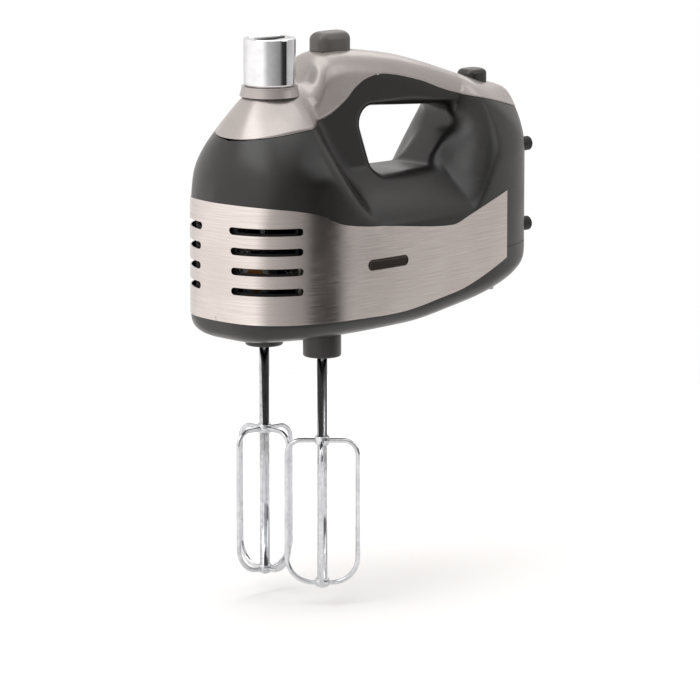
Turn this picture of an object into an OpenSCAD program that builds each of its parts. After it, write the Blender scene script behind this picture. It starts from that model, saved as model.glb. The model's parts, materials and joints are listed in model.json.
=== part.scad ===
// Hand mixer with two wire beaters, a wrap-round steel band and a rewinding cord reel.
// +Z is up, the nose points along -Y and the hand closes round the grip along X.
// Modules are written from the socket point: midway between the two beater axes, level
// with the lower rims of the sockets. from_grip() then moves that point so that the
// origin of the finished mixer is the middle of the hand grip.

/* [Body shell] */
// Half of the greatest width of the body
body_half_w = 45; // [43:0.5:48]
// Half of the width of the handle
grip_half_w = 16.5; // [15:0.5:18]
// How far ahead of its widest place the nose reaches
front_reach = 61; // [59:1:64]
// How far behind its widest place the heel reaches
rear_reach = 160; // [158:1:164]
// Thickness of the plastic shells
wall = 2.6; // [2:0.1:3]
// Thickness of the steel band
band_t = 0.8; // [0.6:0.1:1]
// Height of the seam between the two housings, hidden behind the band
seam_z = 45.8; // [45.6:0.1:46.2]

/* [Vents] */
// Height of the lowest louvre slot
slot_z = 40.5; // [39.5:0.5:41]
// Distance from one louvre slot to the next
slot_pitch = 10.7; // [10.5:0.1:11]
// Height of a louvre slot
slot_h = 4; // [3:0.5:5]

/* [Gearbox] */
// Distance between the two beater axes
beater_gap = 46; // [46:0.5:47]
// Height of the motor shaft
motor_z = 42; // [41.5:0.5:42.5]
// Module of the worm gearing
gear_module = 1.1; // [1.1:0.01:1.12]
// Teeth on a worm wheel
wheel_teeth = 30; // [30:2:30]
// Starts on the worm
worm_starts = 2; // [2:1:2]
// Width of a worm wheel
wheel_w = 10; // [8:1:11]

/* [Motor] */
// Radius of the motor shaft
shaft_r = 3; // [2.8:0.1:3.1]
// Radius of the armature core
core_r = 17; // [16:0.5:17]
// Length of the laminated cores
core_len = 40; // [36:1:40]
// Place where the laminated cores begin
core_y = 43; // [43:1:44]

/* [Beaters] */
// Radius of a beater cage
cage_r = 20.5; // [18:0.5:21]
// Radius of the cage wire
wire_r = 1.3; // [1:0.1:1.5]
// Radius of a beater shaft
beater_shaft_r = 2.75; // [2.5:0.05:2.8]
// Height of the upper arms of a cage
cage_top = -46.3; // [-50:0.1:-44]
// Height of the lower arms of a cage
cage_bottom = -124.7; // [-130:0.1:-120]

/* [Controls] */
// Radius of the speed dial
dial_r = 14; // [13:0.5:14.5]
// Height of the top of the speed dial
dial_top = 171; // [168:1:173]

/* [Cord reel] */
// Radius of the reel flanges
reel_r = 18.5; // [16:0.5:18.5]
// Radius of the hole in the cord gland
gland_hole_r = 3.6; // [3.2:0.1:4]

/* [Hidden] */
$fn = 40;

grip_y = 73;
grip_z = 143;
fit = 0.05;
beater_x = beater_gap / 2;

// Side-view lines of the body, each point given as [y, z]
top_line = [[-56, 90], [-52, 106], [-42, 126], [-31, 140], [-23, 144.4], [-4, 145], [3, 147.5],
            [9, 157.5], [16, 160.8], [32, 161.2], [68, 156], [91, 150], [113, 143], [135, 136],
            [153, 131.5], [161, 126], [165, 112]];
bottom_line = [[-56, 26], [-52, 15], [-42, 11.2], [50, 11.2], [84, 15], [118, 20], [147, 27],
               [160, 33], [165, 44]];
cover_line = [[-60, 117], [-24, 127], [3, 137], [20, 149], [45, 151], [80, 141], [103, 133],
              [138, 124.5], [170, 116]];
band_top_line = [[-60, 87], [-35, 84], [-20, 80.5], [-4, 74], [37, 69], [79, 65], [93, 68.5],
                 [111, 73.5], [130, 78]];
band_low_line = [[-60, 23], [0, 22], [40, 22], [71, 26], [90, 29], [122, 38]];

// Cubic curve through a list of [y, z] points, flat-sided nowhere
function slope(p, i) =
    let (a = max(i - 1, 0), b = min(i + 1, len(p) - 1)) (p[b][1] - p[a][1]) / (p[b][0] - p[a][0]);
function span_of(p, y, i = 0) = (i >= len(p) - 2 || y < p[i + 1][0]) ? i : span_of(p, y, i + 1);
function curve(p, y) =
    let (i = span_of(p, y), w = p[i + 1][0] - p[i][0], t = min(max((y - p[i][0]) / w, 0), 1))
    (2 * t ^ 3 - 3 * t ^ 2 + 1) * p[i][1] + (t ^ 3 - 2 * t ^ 2 + t) * w * slope(p, i)
    + (3 * t ^ 2 - 2 * t ^ 3) * p[i + 1][1] + (t ^ 3 - t ^ 2) * w * slope(p, i + 1);

// Body width: a rounded plan, a shoulder that narrows to the grip, and rounded edges
body_mid = 5;
plan_power = 2.6;
min_half = 0.3;
function ease(t) = let (u = min(max(t, 0), 1)) u * u * (3 - 2 * u);
function blunt(t, p) = (1 - (1 - min(max(t, 0), 1)) ^ p) ^ (1 / p);
function plan(y, inset) =
    let (reach = (y < body_mid ? front_reach : rear_reach) - inset)
    max(0, 1 - min(1, abs(y - body_mid) / reach) ^ plan_power) ^ (1 / plan_power);
function end_weight(y) = y < 60 ? 1 - ease((y + 15) / 40) : ease((y - 95) / 30);
function shoulder(y, z) =
    ease((z - 68 - 27 * end_weight(y)) / (32 + 23 * end_weight(y)));
function edge_r(y) = 16 + 29 * (1 - ease((y + 48) / 46)) + 14 * ease((y - 125) / 30);
function half_width(y, z, lo, hi, inset) =
    let (w = body_half_w + (grip_half_w - body_half_w) * shoulder(y, z) - inset)
    max(min_half, w * plan(y, inset) * blunt((hi - z) / edge_r(y), 2.3) * blunt((z - lo) / 13, 3.2));

// The closed body, moved inwards by inset: a grid of stations along Y and levels along Z
stations = 28;
levels = 15;
function body_points(inset) = [
    for (side = [1, -1]) for (j = [0 : levels]) for (i = [0 : stations])
    let (a = -cos(180 * i / stations),
         y = body_mid + a * ((a < 0 ? front_reach : rear_reach) - inset),
         lo = curve(bottom_line, y) + inset,
         hi = curve(top_line, y) - inset,
         z = lo + (hi - lo) * (1 - cos(180 * j / levels)) / 2)
    [side * half_width(y, z, lo, hi, inset), y, z]];
function at(side, i, j) = side * (stations + 1) * (levels + 1) + j * (stations + 1) + i;
body_faces = concat(
    [for (j = [0 : levels - 1]) for (i = [0 : stations - 1]) for (k = [0, 1])
        k == 0 ? [at(0, i, j), at(0, i, j + 1), at(0, i + 1, j + 1)]
               : [at(0, i, j), at(0, i + 1, j + 1), at(0, i + 1, j)]],
    [for (j = [0 : levels - 1]) for (i = [0 : stations - 1]) for (k = [0, 1])
        k == 0 ? [at(1, i, j), at(1, i + 1, j + 1), at(1, i, j + 1)]
               : [at(1, i, j), at(1, i + 1, j), at(1, i + 1, j + 1)]],
    [for (i = [0 : stations - 1]) [at(0, i, 0), at(0, i + 1, 0), at(1, i + 1, 0), at(1, i, 0)]],
    [for (i = [0 : stations - 1])
        [at(0, i, levels), at(1, i, levels), at(1, i + 1, levels), at(0, i + 1, levels)]],
    [for (j = [0 : levels - 1]) [at(0, 0, j), at(1, 0, j), at(1, 0, j + 1), at(0, 0, j + 1)]],
    [for (j = [0 : levels - 1])
        [at(0, stations, j), at(0, stations, j + 1), at(1, stations, j + 1), at(1, stations, j)]]);

module from_grip() {
    translate([0, -grip_y, -grip_z]) children();
}

// A prism along X over an outline given as [y, z]
module side_prism(outline, half = 60) {
    translate([-half, 0, 0]) rotate([90, 0, 90]) linear_extrude(2 * half) polygon(outline);
}

// A cylinder along Y or along X
module along_y(r, y0, y1, x = 0, z = motor_z) {
    translate([x, y0, z]) rotate([-90, 0, 0]) cylinder(r = r, h = y1 - y0);
}
module along_x(r, x0, x1, y, z) {
    translate([x0, y, z]) rotate([0, 90, 0]) cylinder(r = r, h = x1 - x0);
}

// A ring round a vertical axis
module ring(r_out, r_in, z0, z1) {
    translate([0, 0, z0]) difference() {
        cylinder(r = r_out, h = z1 - z0);
        translate([0, 0, -1]) cylinder(r = r_in, h = z1 - z0 + 2);
    }
}

module box(x0, x1, y0, y1, z0, z1) {
    translate([x0, y0, z0]) cube([x1 - x0, y1 - y0, z1 - z0]);
}

// A coil of round wire about Z, swept as one closed surface
function coil_ring(r, wire, turns, h, k, n, sides) =
    let (a = 360 * turns * k / n)
    [for (s = [0 : sides - 1])
        let (b = 360 * s / sides, q = r + wire * cos(b))
        [q * cos(a), q * sin(a), wire + (h - 2 * wire) * k / n + wire * sin(b)]];
module coil(r, wire, turns, h, sides = 6) {
    n = ceil(turns * 12);
    polyhedron(
        points = [for (k = [0 : n]) each coil_ring(r, wire, turns, h, k, n, sides)],
        faces = concat(
            [[for (s = [0 : sides - 1]) s]],
            [for (k = [0 : n - 1]) for (s = [0 : sides - 1])
                let (t = (s + 1) % sides)
                [k * sides + s, (k + 1) * sides + s, (k + 1) * sides + t, k * sides + t]],
            [[for (s = [0 : sides - 1]) n * sides + sides - 1 - s]]));
}

// Outline between a lower and an upper line of the side view
function strip(low, high, y0 = -60, y1 = 170, step = 5) = concat(
    [for (y = [y0 : step : y1]) [y, curve(low, y)]],
    [for (y = [y1 : -step : y0]) [y, curve(high, y)]]);
high_edge = [[-60, 180], [170, 180]];

module body(inset) {
    polyhedron(points = body_points(inset), faces = body_faces, convexity = 6);
}

// The finger opening, seen from the side: two circles under the grip, two over the sill
module opening_outline(grow) {
    hull() {
        translate([46, 121]) circle(r = 9 + grow);
        translate([100, 117]) circle(r = 9 + grow);
        translate([52, 101]) circle(r = 7.5 + grow);
        translate([86, 101]) circle(r = 7.5 + grow);
    }
}
module opening(grow) {
    translate([-60, 0, 0]) rotate([90, 0, 90]) linear_extrude(120) opening_outline(grow);
}

// The hollow shell of the body with the tube of the finger opening through it
module body_shell(outer_inset = 0) {
    difference() {
        body(outer_inset);
        opening(0);
        difference() {
            body(wall);
            opening(wall);
        }
    }
}

// The part of the body that the steel band covers
module band_zone(grow) {
    side_prism(strip(band_low_line, band_top_line, -60, 130), 60 + grow);
}

// One louvre slot round the corner of the nose, with round ends
slot_x = 14;
slot_y = -32;
module slot(side, z, grow = 0) {
    r = slot_h / 2 + grow;
    hull() {
        translate([side * slot_x, -70, z]) rotate([-90, 0, 0]) cylinder(r = r, h = 30, $fn = 16);
        translate([side * (slot_x + 6), slot_y, z]) rotate([0, side * 90, 0])
            cylinder(r = r, h = 32, $fn = 16);
    }
}
module slots(grow = 0) {
    for (side = [-1, 1]) for (k = [0 : 3]) slot(side, slot_z + slot_pitch * k, grow);
}

// Screw bosses with a rib to the wall
base_screw_places = [[32, -24], [-32, -24], [27, 121.5], [-27, 121.5]];
boss_r = 4.2;
pilot_r = 1.75;
module bosses(z0, z1) {
    for (p = base_screw_places) {
        reach = 9;
        hull() {
            translate([p[0], p[1], z0]) cylinder(r = boss_r, h = z1 - z0, $fn = 24);
            translate([p[0], p[1], z0]) cylinder(r = 1, h = z1 - z0, $fn = 12);
        }
        hull() {
            translate([p[0], p[1], z0]) cylinder(r = 1, h = z1 - z0, $fn = 12);
            translate([p[0] + sign(p[0]) * reach, p[1], z0]) cylinder(r = 1, h = z1 - z0, $fn = 12);
        }
    }
}
module pilots(r, z0, z1) {
    for (p = base_screw_places) translate([p[0], p[1], z0]) cylinder(r = r, h = z1 - z0, $fn = 24);
}

// Both housings as one shell, with the recess for the band and the holes for the louvres
shelf_z = 120;
module housing_shell() {
    difference() {
        union() {
            body_shell();
            intersection() {
                union() {
                    bosses(8, 62);
                    box(-40, 40, 133, 148, shelf_z - 2, shelf_z);
                }
                body(1.5);
            }
        }
        difference() {
            band_zone(1);
            body(band_t + fit);
        }
        slots(0.4);
        pilots(pilot_r, 5, 58);
    }
}

collar_r = 10.3;
collar_hole_r = 6.2;
base_screw_z = 25;
gland_z = 86;
module lower_housing() from_grip() color([0.13, 0.12, 0.12]) {
    difference() {
        intersection() {
            housing_shell();
            box(-60, 60, -70, 180, -10, seam_z);
        }
        for (s = [-1, 1]) translate([s * beater_x, 0, -1]) cylinder(r = collar_r + fit, h = 30);
        pilots(3.6, 5, base_screw_z);
    }
}
module socket_collars() from_grip() color([0.11, 0.1, 0.1]) {
    for (s = [-1, 1]) translate([s * beater_x, 0, 0]) ring(collar_r, collar_hole_r, 0, 15);
}
module upper_housing() from_grip() color([0.15, 0.14, 0.14]) {
    difference() {
        intersection() {
            housing_shell();
            side_prism(strip([[-60, seam_z], [170, seam_z]], cover_line));
        }
        translate([0, rewind_stem_y, 100]) cylinder(r = 2.3, h = 30);
        along_y(7.1, 140, 180, 0, gland_z);
        for (p = heel_pads) along_y(heel_pad_r, heel_pad_y, 180, p[0], p[1]);
    }
}

// Satin cover from the nose top over the grip, with its seats and holes
eject_y = 27.5;
eject_half_l = 11.4;
eject_half_w = 6.9;
rewind_y = 135.5;
rewind_half_l = 7.4;
rewind_half_w = 6.4;
dial_y = -16.5;
dial_seat_z = 145.2;
module pad(y, half_l, half_w, z0, z1, r = 3) {
    hull() for (sx = [-1, 1]) for (sy = [-1, 1])
        translate([sx * (half_w - r), y + sy * (half_l - r), z0]) cylinder(r = r, h = z1 - z0, $fn = 32);
}
module top_cover() from_grip() color([0.66, 0.63, 0.62]) {
    difference() {
        union() {
            intersection() {
                body_shell();
                side_prism(strip(cover_line, high_edge));
            }
            translate([0, dial_y, 136]) cylinder(r = dial_r + 1, h = dial_seat_z - 136);
            for (k = [0 : 3]) for (s = [-1, 1]) hull() {
                translate([s * 9, 48 + 20 * k, 145 - 4.6 * k]) cylinder(r = 0.8, h = 9, $fn = 8);
                translate([s * 10.4, 48 + 20 * k, 145 - 4.6 * k]) cylinder(r = 0.8, h = 7, $fn = 8);
            }
        }
        translate([0, dial_y, 130]) cylinder(r = 4.4, h = 30);
        difference() {
            translate([0, dial_y, 130]) cylinder(r = dial_r - 1.4, h = 12);
            translate([0, dial_y, 130]) cylinder(r = 6.5, h = 30);
        }
        pad(eject_y, eject_half_l + 0.3, eject_half_w + 0.3, 140, 175);
        pad(rewind_y, rewind_half_l + 0.3, rewind_half_w + 0.3, 126, 150);
    }
}

module steel_band() from_grip() color([0.86, 0.84, 0.82]) {
    difference() {
        intersection() {
            difference() {
                body(0);
                body(band_t);
            }
            side_prism(strip(band_low_line, band_top_line, -60, 129));
        }
        slots();
    }
}

// Louvre insert behind the slots, with a narrower gap behind each slot
module vent_grille() from_grip() color([0.1, 0.1, 0.1]) {
    difference() {
        intersection() {
            difference() {
                body(wall + 0.1);
                body(wall + 1.6);
            }
            box(-60, 60, -70, -30.5, 35, 79);
        }
        slots(-0.8);
        pilots(boss_r + 0.6, 0, 100);
        for (p = base_screw_places) box(min(p[0], 2 * p[0]), max(p[0], 2 * p[0]), p[1] - 2, p[1] + 2, 0, 70);
    }
}

module badge_plate() from_grip() color([0.2, 0.19, 0.19]) {
    translate([45.02, 28, 50]) rotate([0, 90, 0]) linear_extrude(0.8) hull() {
        translate([0, -12]) circle(r = 3);
        translate([0, 12]) circle(r = 3);
    }
}

module cord_gland() from_grip() color([0.08, 0.08, 0.08]) {
    difference() {
        union() {
            along_y(7, 158, 164, 0, gland_z);
            along_y(9, 155.6, 158, 0, gland_z);
        }
        along_y(gland_hole_r, 150, 170, 0, gland_z);
    }
}

heel_y = 166.6;
heel_pad_y = 160.4;
heel_pad_r = 4;
heel_pads = [[13, 53], [-13, 53], [13, 98], [-13, 98]];
module heel_feet() from_grip() color([0.1, 0.1, 0.1]) {
    for (p = heel_pads) along_y(heel_pad_r - fit, heel_pad_y + fit, heel_y, p[0], p[1]);
}

module screw(head_r, head_h, shank_r, length) {
    difference() {
        cylinder(r = head_r, h = head_h);
        for (a = [0, 90]) rotate(a) translate([-head_r * 0.6, -0.45, -1]) cube([head_r * 1.2, 0.9, 2]);
    }
    translate([0, 0, head_h]) cylinder(r = shank_r, h = length);
}
module base_screws() from_grip() color([0.7, 0.7, 0.7]) {
    for (p = base_screw_places) translate([p[0], p[1], base_screw_z - 2.2]) screw(3.3, 2.2, 1.65, 31);
}

// Gearbox: a worm on the motor shaft between two worm wheels
wheel_r = gear_module * wheel_teeth / 2;
worm_r = beater_x - wheel_r;
thread_pitch = PI * gear_module;
worm_lead = thread_pitch * worm_starts;
worm_len = 24;
spindle_r = 5;
spindle_low = 3;
spindle_top = 57;
bush_r = 8;
low_plate = [24, 29];
top_plate = [51, 55];
bearing_r = 7;
front_bearing_y = -27;
middle_bearing_y = 17;
bearing_len = 6;
gear_screw_places = [[29, 0], [-29, 0]];

module plate_outline() {
    translate([-33, -11]) square([66, 22]);
    translate([-10, -28]) square([20, 52]);
}
module gear_case() from_grip() color([0.55, 0.56, 0.58]) {
    difference() {
        union() {
            translate([0, 0, low_plate[0]]) linear_extrude(low_plate[1] - low_plate[0]) plate_outline();
            box(-10, 10, front_bearing_y, front_bearing_y + bearing_len, low_plate[1], top_plate[0]);
            box(-10, 10, middle_bearing_y, middle_bearing_y + bearing_len, low_plate[1], top_plate[0]);
        }
        for (s = [-1, 1]) translate([s * beater_x, 0, 0]) cylinder(r = bush_r, h = 60);
        along_y(bearing_r, -40, 40);
        for (y = [front_bearing_y + 3, middle_bearing_y + 3])
            for (s = [-1, 1]) translate([s * 8, y, 45]) cylinder(r = 1.2, h = 10);
    }
}
module gear_case_cover() from_grip() color([0.6, 0.61, 0.63]) {
    difference() {
        translate([0, 0, top_plate[0]]) linear_extrude(top_plate[1] - top_plate[0]) plate_outline();
        for (s = [-1, 1]) translate([s * beater_x, 0, 0]) cylinder(r = bush_r, h = 60);
        for (y = [front_bearing_y + 3, middle_bearing_y + 3])
            for (s = [-1, 1]) translate([s * 8, y, 45]) cylinder(r = 1.3, h = 20);
    }
}
module gear_case_screws() from_grip() color([0.75, 0.75, 0.75]) {
    for (y = [front_bearing_y + 3, middle_bearing_y + 3]) for (s = [-1, 1])
        translate([s * 8, y, top_plate[1] + 1.4]) mirror([0, 0, 1]) screw(1.9, 1.4, 1.15, 9);
}
module spindle_bushes(z0, z1) {
    for (s = [-1, 1]) translate([s * beater_x, 0, 0]) ring(bush_r, spindle_r + fit, z0, z1);
}
module lower_spindle_bushes() from_grip() color([0.72, 0.52, 0.3]) {
    spindle_bushes(low_plate[0] - 2, low_plate[1] + 2);
}
module upper_spindle_bushes() from_grip() color([0.72, 0.52, 0.3]) {
    spindle_bushes(top_plate[0] - 1, top_plate[1]);
}
module shaft_bush(y0, y1) {
    difference() {
        along_y(bearing_r, y0, y1);
        along_y(shaft_r + fit, y0 - 1, y1 + 1);
    }
}
module front_bearing() from_grip() color([0.72, 0.52, 0.3]) {
    shaft_bush(front_bearing_y, front_bearing_y + bearing_len);
}
module middle_bearing() from_grip() color([0.72, 0.52, 0.3]) {
    shaft_bush(middle_bearing_y, middle_bearing_y + bearing_len);
}

// Teeth lean with the lead of the worm that drives them
tooth_high = 1;
tooth_low = 1.4;
tooth_deep = tooth_high + tooth_low + 0.3;
tooth_foot = 0.95;
tooth_tip = 0.6;
module worm_wheel(s) {
    lean = atan(worm_lead / (2 * PI * worm_r));
    translate([s * beater_x, 0, motor_z - wheel_w / 2]) difference() {
        union() {
            cylinder(r = wheel_r - tooth_low, h = wheel_w);
            for (k = [0 : wheel_teeth - 1]) rotate((k + 0.5) * 360 / wheel_teeth)
                translate([wheel_r - tooth_low - 0.3, 0, wheel_w / 2]) rotate([-lean, 0, 0])
                    translate([0, 0, 0.45 - wheel_w / 2]) linear_extrude(wheel_w - 0.9) polygon([
                        [0, -tooth_foot], [tooth_deep, -tooth_tip], [tooth_deep, tooth_tip], [0, tooth_foot]]);
            translate([0, 0, wheel_w]) cylinder(r = 8, h = 2);
        }
        translate([0, 0, -1]) cylinder(r = spindle_r, h = wheel_w + 4);
    }
}
module left_worm_wheel() from_grip() color([0.93, 0.92, 0.87]) { worm_wheel(1); }
module right_worm_wheel() from_grip() color([0.93, 0.92, 0.87]) { worm_wheel(-1); }

// Hollow spindle whose slotted foot drives the cross pin of a beater
drive_pin_z = 7;
drive_pin_r = 1;
module spindle(s) {
    translate([s * beater_x, 0, 0]) difference() {
        ring(spindle_r, beater_shaft_r + 0.08, spindle_low, spindle_top);
        box(-drive_pin_r - 0.15, drive_pin_r + 0.15, -10, 10, spindle_low - 1, drive_pin_z + 1.3);
    }
}
module left_spindle() from_grip() color([0.6, 0.61, 0.63]) { spindle(1); }
module right_spindle() from_grip() color([0.6, 0.61, 0.63]) { spindle(-1); }

// Beaters
beater_top = 56;
wire_c = cage_r - wire_r;
top_bend = 8;
low_bend = 14;
module beater_shaft(s) {
    translate([s * beater_x, 0, 0]) {
        difference() {
            translate([0, 0, cage_bottom - 2]) cylinder(r = beater_shaft_r, h = beater_top - cage_bottom + 2);
            translate([0, 0, 46]) ring(4, 2.2, 0, 2);
        }
        translate([0, 0, cage_top - 2.6]) cylinder(r = 4, h = 5.4);
        translate([0, 0, cage_bottom - 2.6]) cylinder(r = 4, h = 5.2);
        along_y(drive_pin_r, -4.7, 4.7, 0, drive_pin_z, $fn = 24);
    }
}
// One wing: out along the upper arm, down the side and in along the lower arm
hub_r = 4;
module wing() {
    rotate([0, 90, 0]) translate([-cage_top, 0, hub_r]) cylinder(r = wire_r, h = wire_c - top_bend - hub_r);
    translate([wire_c - top_bend, 0, cage_top - top_bend]) rotate([90, 0, 0])
        rotate_extrude(angle = 90) translate([top_bend, 0]) circle(r = wire_r);
    translate([wire_c, 0, cage_bottom + low_bend])
        cylinder(r = wire_r, h = cage_top - top_bend - cage_bottom - low_bend);
    translate([wire_c - low_bend, 0, cage_bottom + low_bend]) rotate([90, 0, 0])
        rotate([0, 0, -90]) rotate_extrude(angle = 90) translate([low_bend, 0]) circle(r = wire_r);
    rotate([0, 90, 0]) translate([-cage_bottom, 0, hub_r]) cylinder(r = wire_r, h = wire_c - low_bend - hub_r);
}
module beater_wires(s) {
    translate([s * beater_x, 0, 0]) for (k = [0 : 3]) rotate(90 * k + (s > 0 ? 45 : 0)) wing();
}
module left_beater_shaft() from_grip() color([0.85, 0.86, 0.88]) { beater_shaft(1); }
module left_beater_wires() from_grip() color([0.85, 0.86, 0.88]) { beater_wires(1); }
module right_beater_shaft() from_grip() color([0.85, 0.86, 0.88]) { beater_shaft(-1); }
module right_beater_wires() from_grip() color([0.85, 0.86, 0.88]) { beater_wires(-1); }

// Motor: the armature and what turns with it
core_end = core_y + core_len;
shaft_start = -28;
shaft_end = 115;
commutator_y = 92;
commutator_r = 9.5;
fan_y = 26;
slots_n = 12;
module armature_shaft() from_grip() color([0.7, 0.71, 0.73]) {
    along_y(shaft_r, shaft_start, shaft_end);
}
function worm_reach(a) = let (w = abs(((a * worm_starts + 180) % 360 + 360) % 360 - 180))
    worm_r - 1.3 + 2.3 * min(1, max(0, (88 - w) / 44));
module worm() from_grip() color([0.66, 0.67, 0.7]) {
    translate([0, -worm_len / 2, motor_z]) rotate([-90, 0, 0]) difference() {
        rotate(-180 * worm_len / worm_lead)
            linear_extrude(worm_len, twist = -360 * worm_len / worm_lead, slices = 42, $fn = 24)
                polygon([for (k = [0 : 23]) let (a = 15 * k) worm_reach(a) * [cos(a), sin(a)]]);
        translate([0, 0, -1]) cylinder(r = shaft_r, h = worm_len + 2);
    }
}
module armature_core() from_grip() color([0.5, 0.5, 0.52]) {
    translate([0, core_y, motor_z]) rotate([-90, 0, 0]) difference() {
        ring(core_r, shaft_r, 0, core_len);
        for (k = [0 : slots_n - 1]) rotate(360 * k / slots_n) translate([9, -1.2, -1]) cube([6.5, 2.4, core_len + 2]);
        for (k = [0 : slots_n - 1]) rotate(360 * k / slots_n) translate([14, -0.6, -1]) cube([6, 1.2, core_len + 2]);
    }
}
module armature_windings() from_grip() color([0.72, 0.4, 0.2]) {
    translate([0, 0, motor_z]) rotate([-90, 0, 0]) {
        for (y = [core_y - 5.5, core_end]) translate([0, 0, y]) ring(15, 5, 0, 5.5);
        for (k = [0 : slots_n - 1]) rotate(360 * k / slots_n)
            translate([9.2, -1.05, core_y]) cube([5.6, 2.1, core_len]);
    }
}
module commutator() from_grip() color([0.8, 0.5, 0.3]) {
    translate([0, commutator_y, motor_z]) rotate([-90, 0, 0]) difference() {
        ring(commutator_r, shaft_r, 0, 12);
        for (k = [0 : slots_n - 1]) rotate(360 * k / slots_n) translate([8.3, -0.25, -1]) cube([3, 0.5, 14]);
    }
}
fan_r = 24;
module cooling_fan() from_grip() color([0.9, 0.9, 0.88]) {
    translate([0, fan_y, motor_z]) rotate([-90, 0, 0]) {
        ring(6, shaft_r, 0, 8);
        ring(fan_r, 5.5, 0, 1.5);
        for (k = [0 : 8]) rotate(40 * k) translate([5.6, -0.6, 1]) cube([fan_r - 6, 1.2, 6.5]);
    }
}

// Motor: the fixed parts
stator_half = [30, 22.5];
window_half = [24.5, 18];
module stator_core() from_grip() color([0.45, 0.45, 0.47]) {
    translate([0, core_y, motor_z]) rotate([-90, 0, 0]) linear_extrude(core_len) difference() {
        square(2 * stator_half, center = true);
        difference() {
            square(2 * window_half, center = true);
            for (s = [-1, 1]) translate([s * 21, 0]) square([8, 18], center = true);
            intersection() {
                circle(r = core_r + 3.4);
                union() for (s = [-1, 1]) translate([s * 16, 0]) square([12, 26], center = true);
            }
        }
        circle(r = core_r + 0.6);
        for (s = [-1, 1]) translate([s * 27.2, 0]) circle(r = 1.7);
    }
}
module field_coils() from_grip() color([0.7, 0.38, 0.18]) {
    for (s = [0, 1]) mirror([s, 0, 0]) difference() {
        box(21, 24.2, core_y - 7, core_end + 7, motor_z - 17.3, motor_z + 17.3);
        box(20, 26, core_y - 0.2, core_end + 0.2, motor_z - 9.3, motor_z + 9.3);
    }
}
module motor_mounts() from_grip() color([0.12, 0.12, 0.12]) {
    stator_floor = motor_z - stator_half[1];
    for (s = [-1, 1]) {
        box(s * 12 - 4, s * 12 + 4, 46, 54, 15, stator_floor);
        box(s * 12 - 4, s * 12 + 4, 70, 77, 17.4, stator_floor);
    }
}
rear_bearing_y = 107;
module rear_bracket() from_grip() color([0.62, 0.63, 0.65]) {
    difference() {
        union() {
            box(-29.5, 29.5, rear_bearing_y, rear_bearing_y + bearing_len, motor_z - 9, motor_z + 10);
            for (s = [0, 1]) mirror([s, 0, 0]) {
                box(24.6, 29.5, core_end, rear_bearing_y, motor_z + 6, motor_z + 10);
                box(24.6, 29.5, core_end, core_end + 3, motor_z - 4, motor_z + 10);
            }
        }
        along_y(bearing_r, 90, 130);
        for (s = [-1, 1]) along_y(1.7, core_end - 1, core_end + 6, s * 27.2);
    }
}
module rear_bearing() from_grip() color([0.72, 0.52, 0.3]) {
    shaft_bush(rear_bearing_y, rear_bearing_y + bearing_len);
}
module motor_bolts() from_grip() color([0.7, 0.7, 0.7]) {
    for (s = [-1, 1]) {
        along_y(2.3, core_end + 3, core_end + 5, s * 27.2);
        along_y(1.6, core_y - 3, core_end + 3, s * 27.2);
    }
}
holder_y = 98;
module brush_holders() from_grip() color([0.8, 0.66, 0.35]) {
    for (s = [0, 1]) mirror([s, 0, 0]) {
        difference() {
            box(10.2, 26, holder_y - 4, holder_y + 4, motor_z - 4, motor_z + 4);
            box(9, 24.6, holder_y - 2.8, holder_y + 2.8, motor_z - 2.8, motor_z + 2.8);
        }
        box(20, 24, holder_y + 4, rear_bearing_y, motor_z - 4, motor_z + 4);
    }
}
module carbon_brushes() from_grip() color([0.2, 0.2, 0.2]) {
    for (s = [0, 1]) mirror([s, 0, 0])
        box(commutator_r + 0.15, 19, holder_y - 2.7, holder_y + 2.7, motor_z - 2.7, motor_z + 2.7);
}
module brush_springs() from_grip() color([0.75, 0.75, 0.77]) {
    for (s = [0, 1]) mirror([s, 0, 0]) translate([19, holder_y, motor_z]) rotate([0, 90, 0])
        coil(2, 0.35, 4, 5.6, 4);
}

// Electrics in the nose
board_z = 104;
module control_board() from_grip() color([0.1, 0.35, 0.2]) {
    difference() {
        box(-26, 26, -37, 4, board_z, board_z + 1.6);
        box(-30, -19.6, -15, -8.6, board_z - 1, board_z + 3);
    }
}
module heat_sink() from_grip() color([0.75, 0.76, 0.78]) {
    box(-18, -4, -30, -8, board_z + 1.6, board_z + 3.2);
    for (k = [0 : 4]) box(-18 + 3.1 * k, -16.4 + 3.1 * k, -30, -8, board_z + 3.2, board_z + 12);
}
module suppressor_capacitor() from_grip() color([0.85, 0.75, 0.2]) {
    box(3, 19, -32, -22, board_z + 1.6, board_z + 12);
}
switch_z = [120, 131];
module speed_switch() from_grip() color([0.18, 0.18, 0.2]) {
    difference() {
        union() {
            box(-14, 14, dial_y - 13, dial_y + 13, switch_z[0], switch_z[1]);
            for (k = [-1 : 1]) box(-1.5 + 8 * k, 1.5 + 8 * k, dial_y - 6, dial_y - 5.2, switch_z[0] - 3.6, switch_z[0]);
        }
        translate([0, dial_y, switch_z[0] - 1]) cylinder(r = 3 + fit, h = 30);
    }
}
cam_r = 6;
module dial_detent_spring() from_grip() color([0.8, 0.8, 0.82]) {
    translate([0, dial_y, switch_z[1]]) {
        box(7.6, 8.3, -9, 9, 0.4, 3.4);
        translate([7.6, 0, 0.4]) cylinder(r = 1.2, h = 3);
        for (s = [-1, 1]) box(7.6, 10, s * 10 - 1.2, s * 10 + 1.2, 0, 3.4);
    }
}
module eject_spring() from_grip() color([0.78, 0.78, 0.8]) {
    translate([0, eject_stem_y, top_plate[1] + 0.1]) coil(3.6, 0.45, 5, plate_z - top_plate[1] - 0.2);
}
module rewind_spring() from_grip() color([0.78, 0.78, 0.8]) {
    translate([0, rewind_stem_y, shelf_z + 0.1]) coil(2.9, 0.35, 4, rewind_low - shelf_z - 0.2);
}

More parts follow.
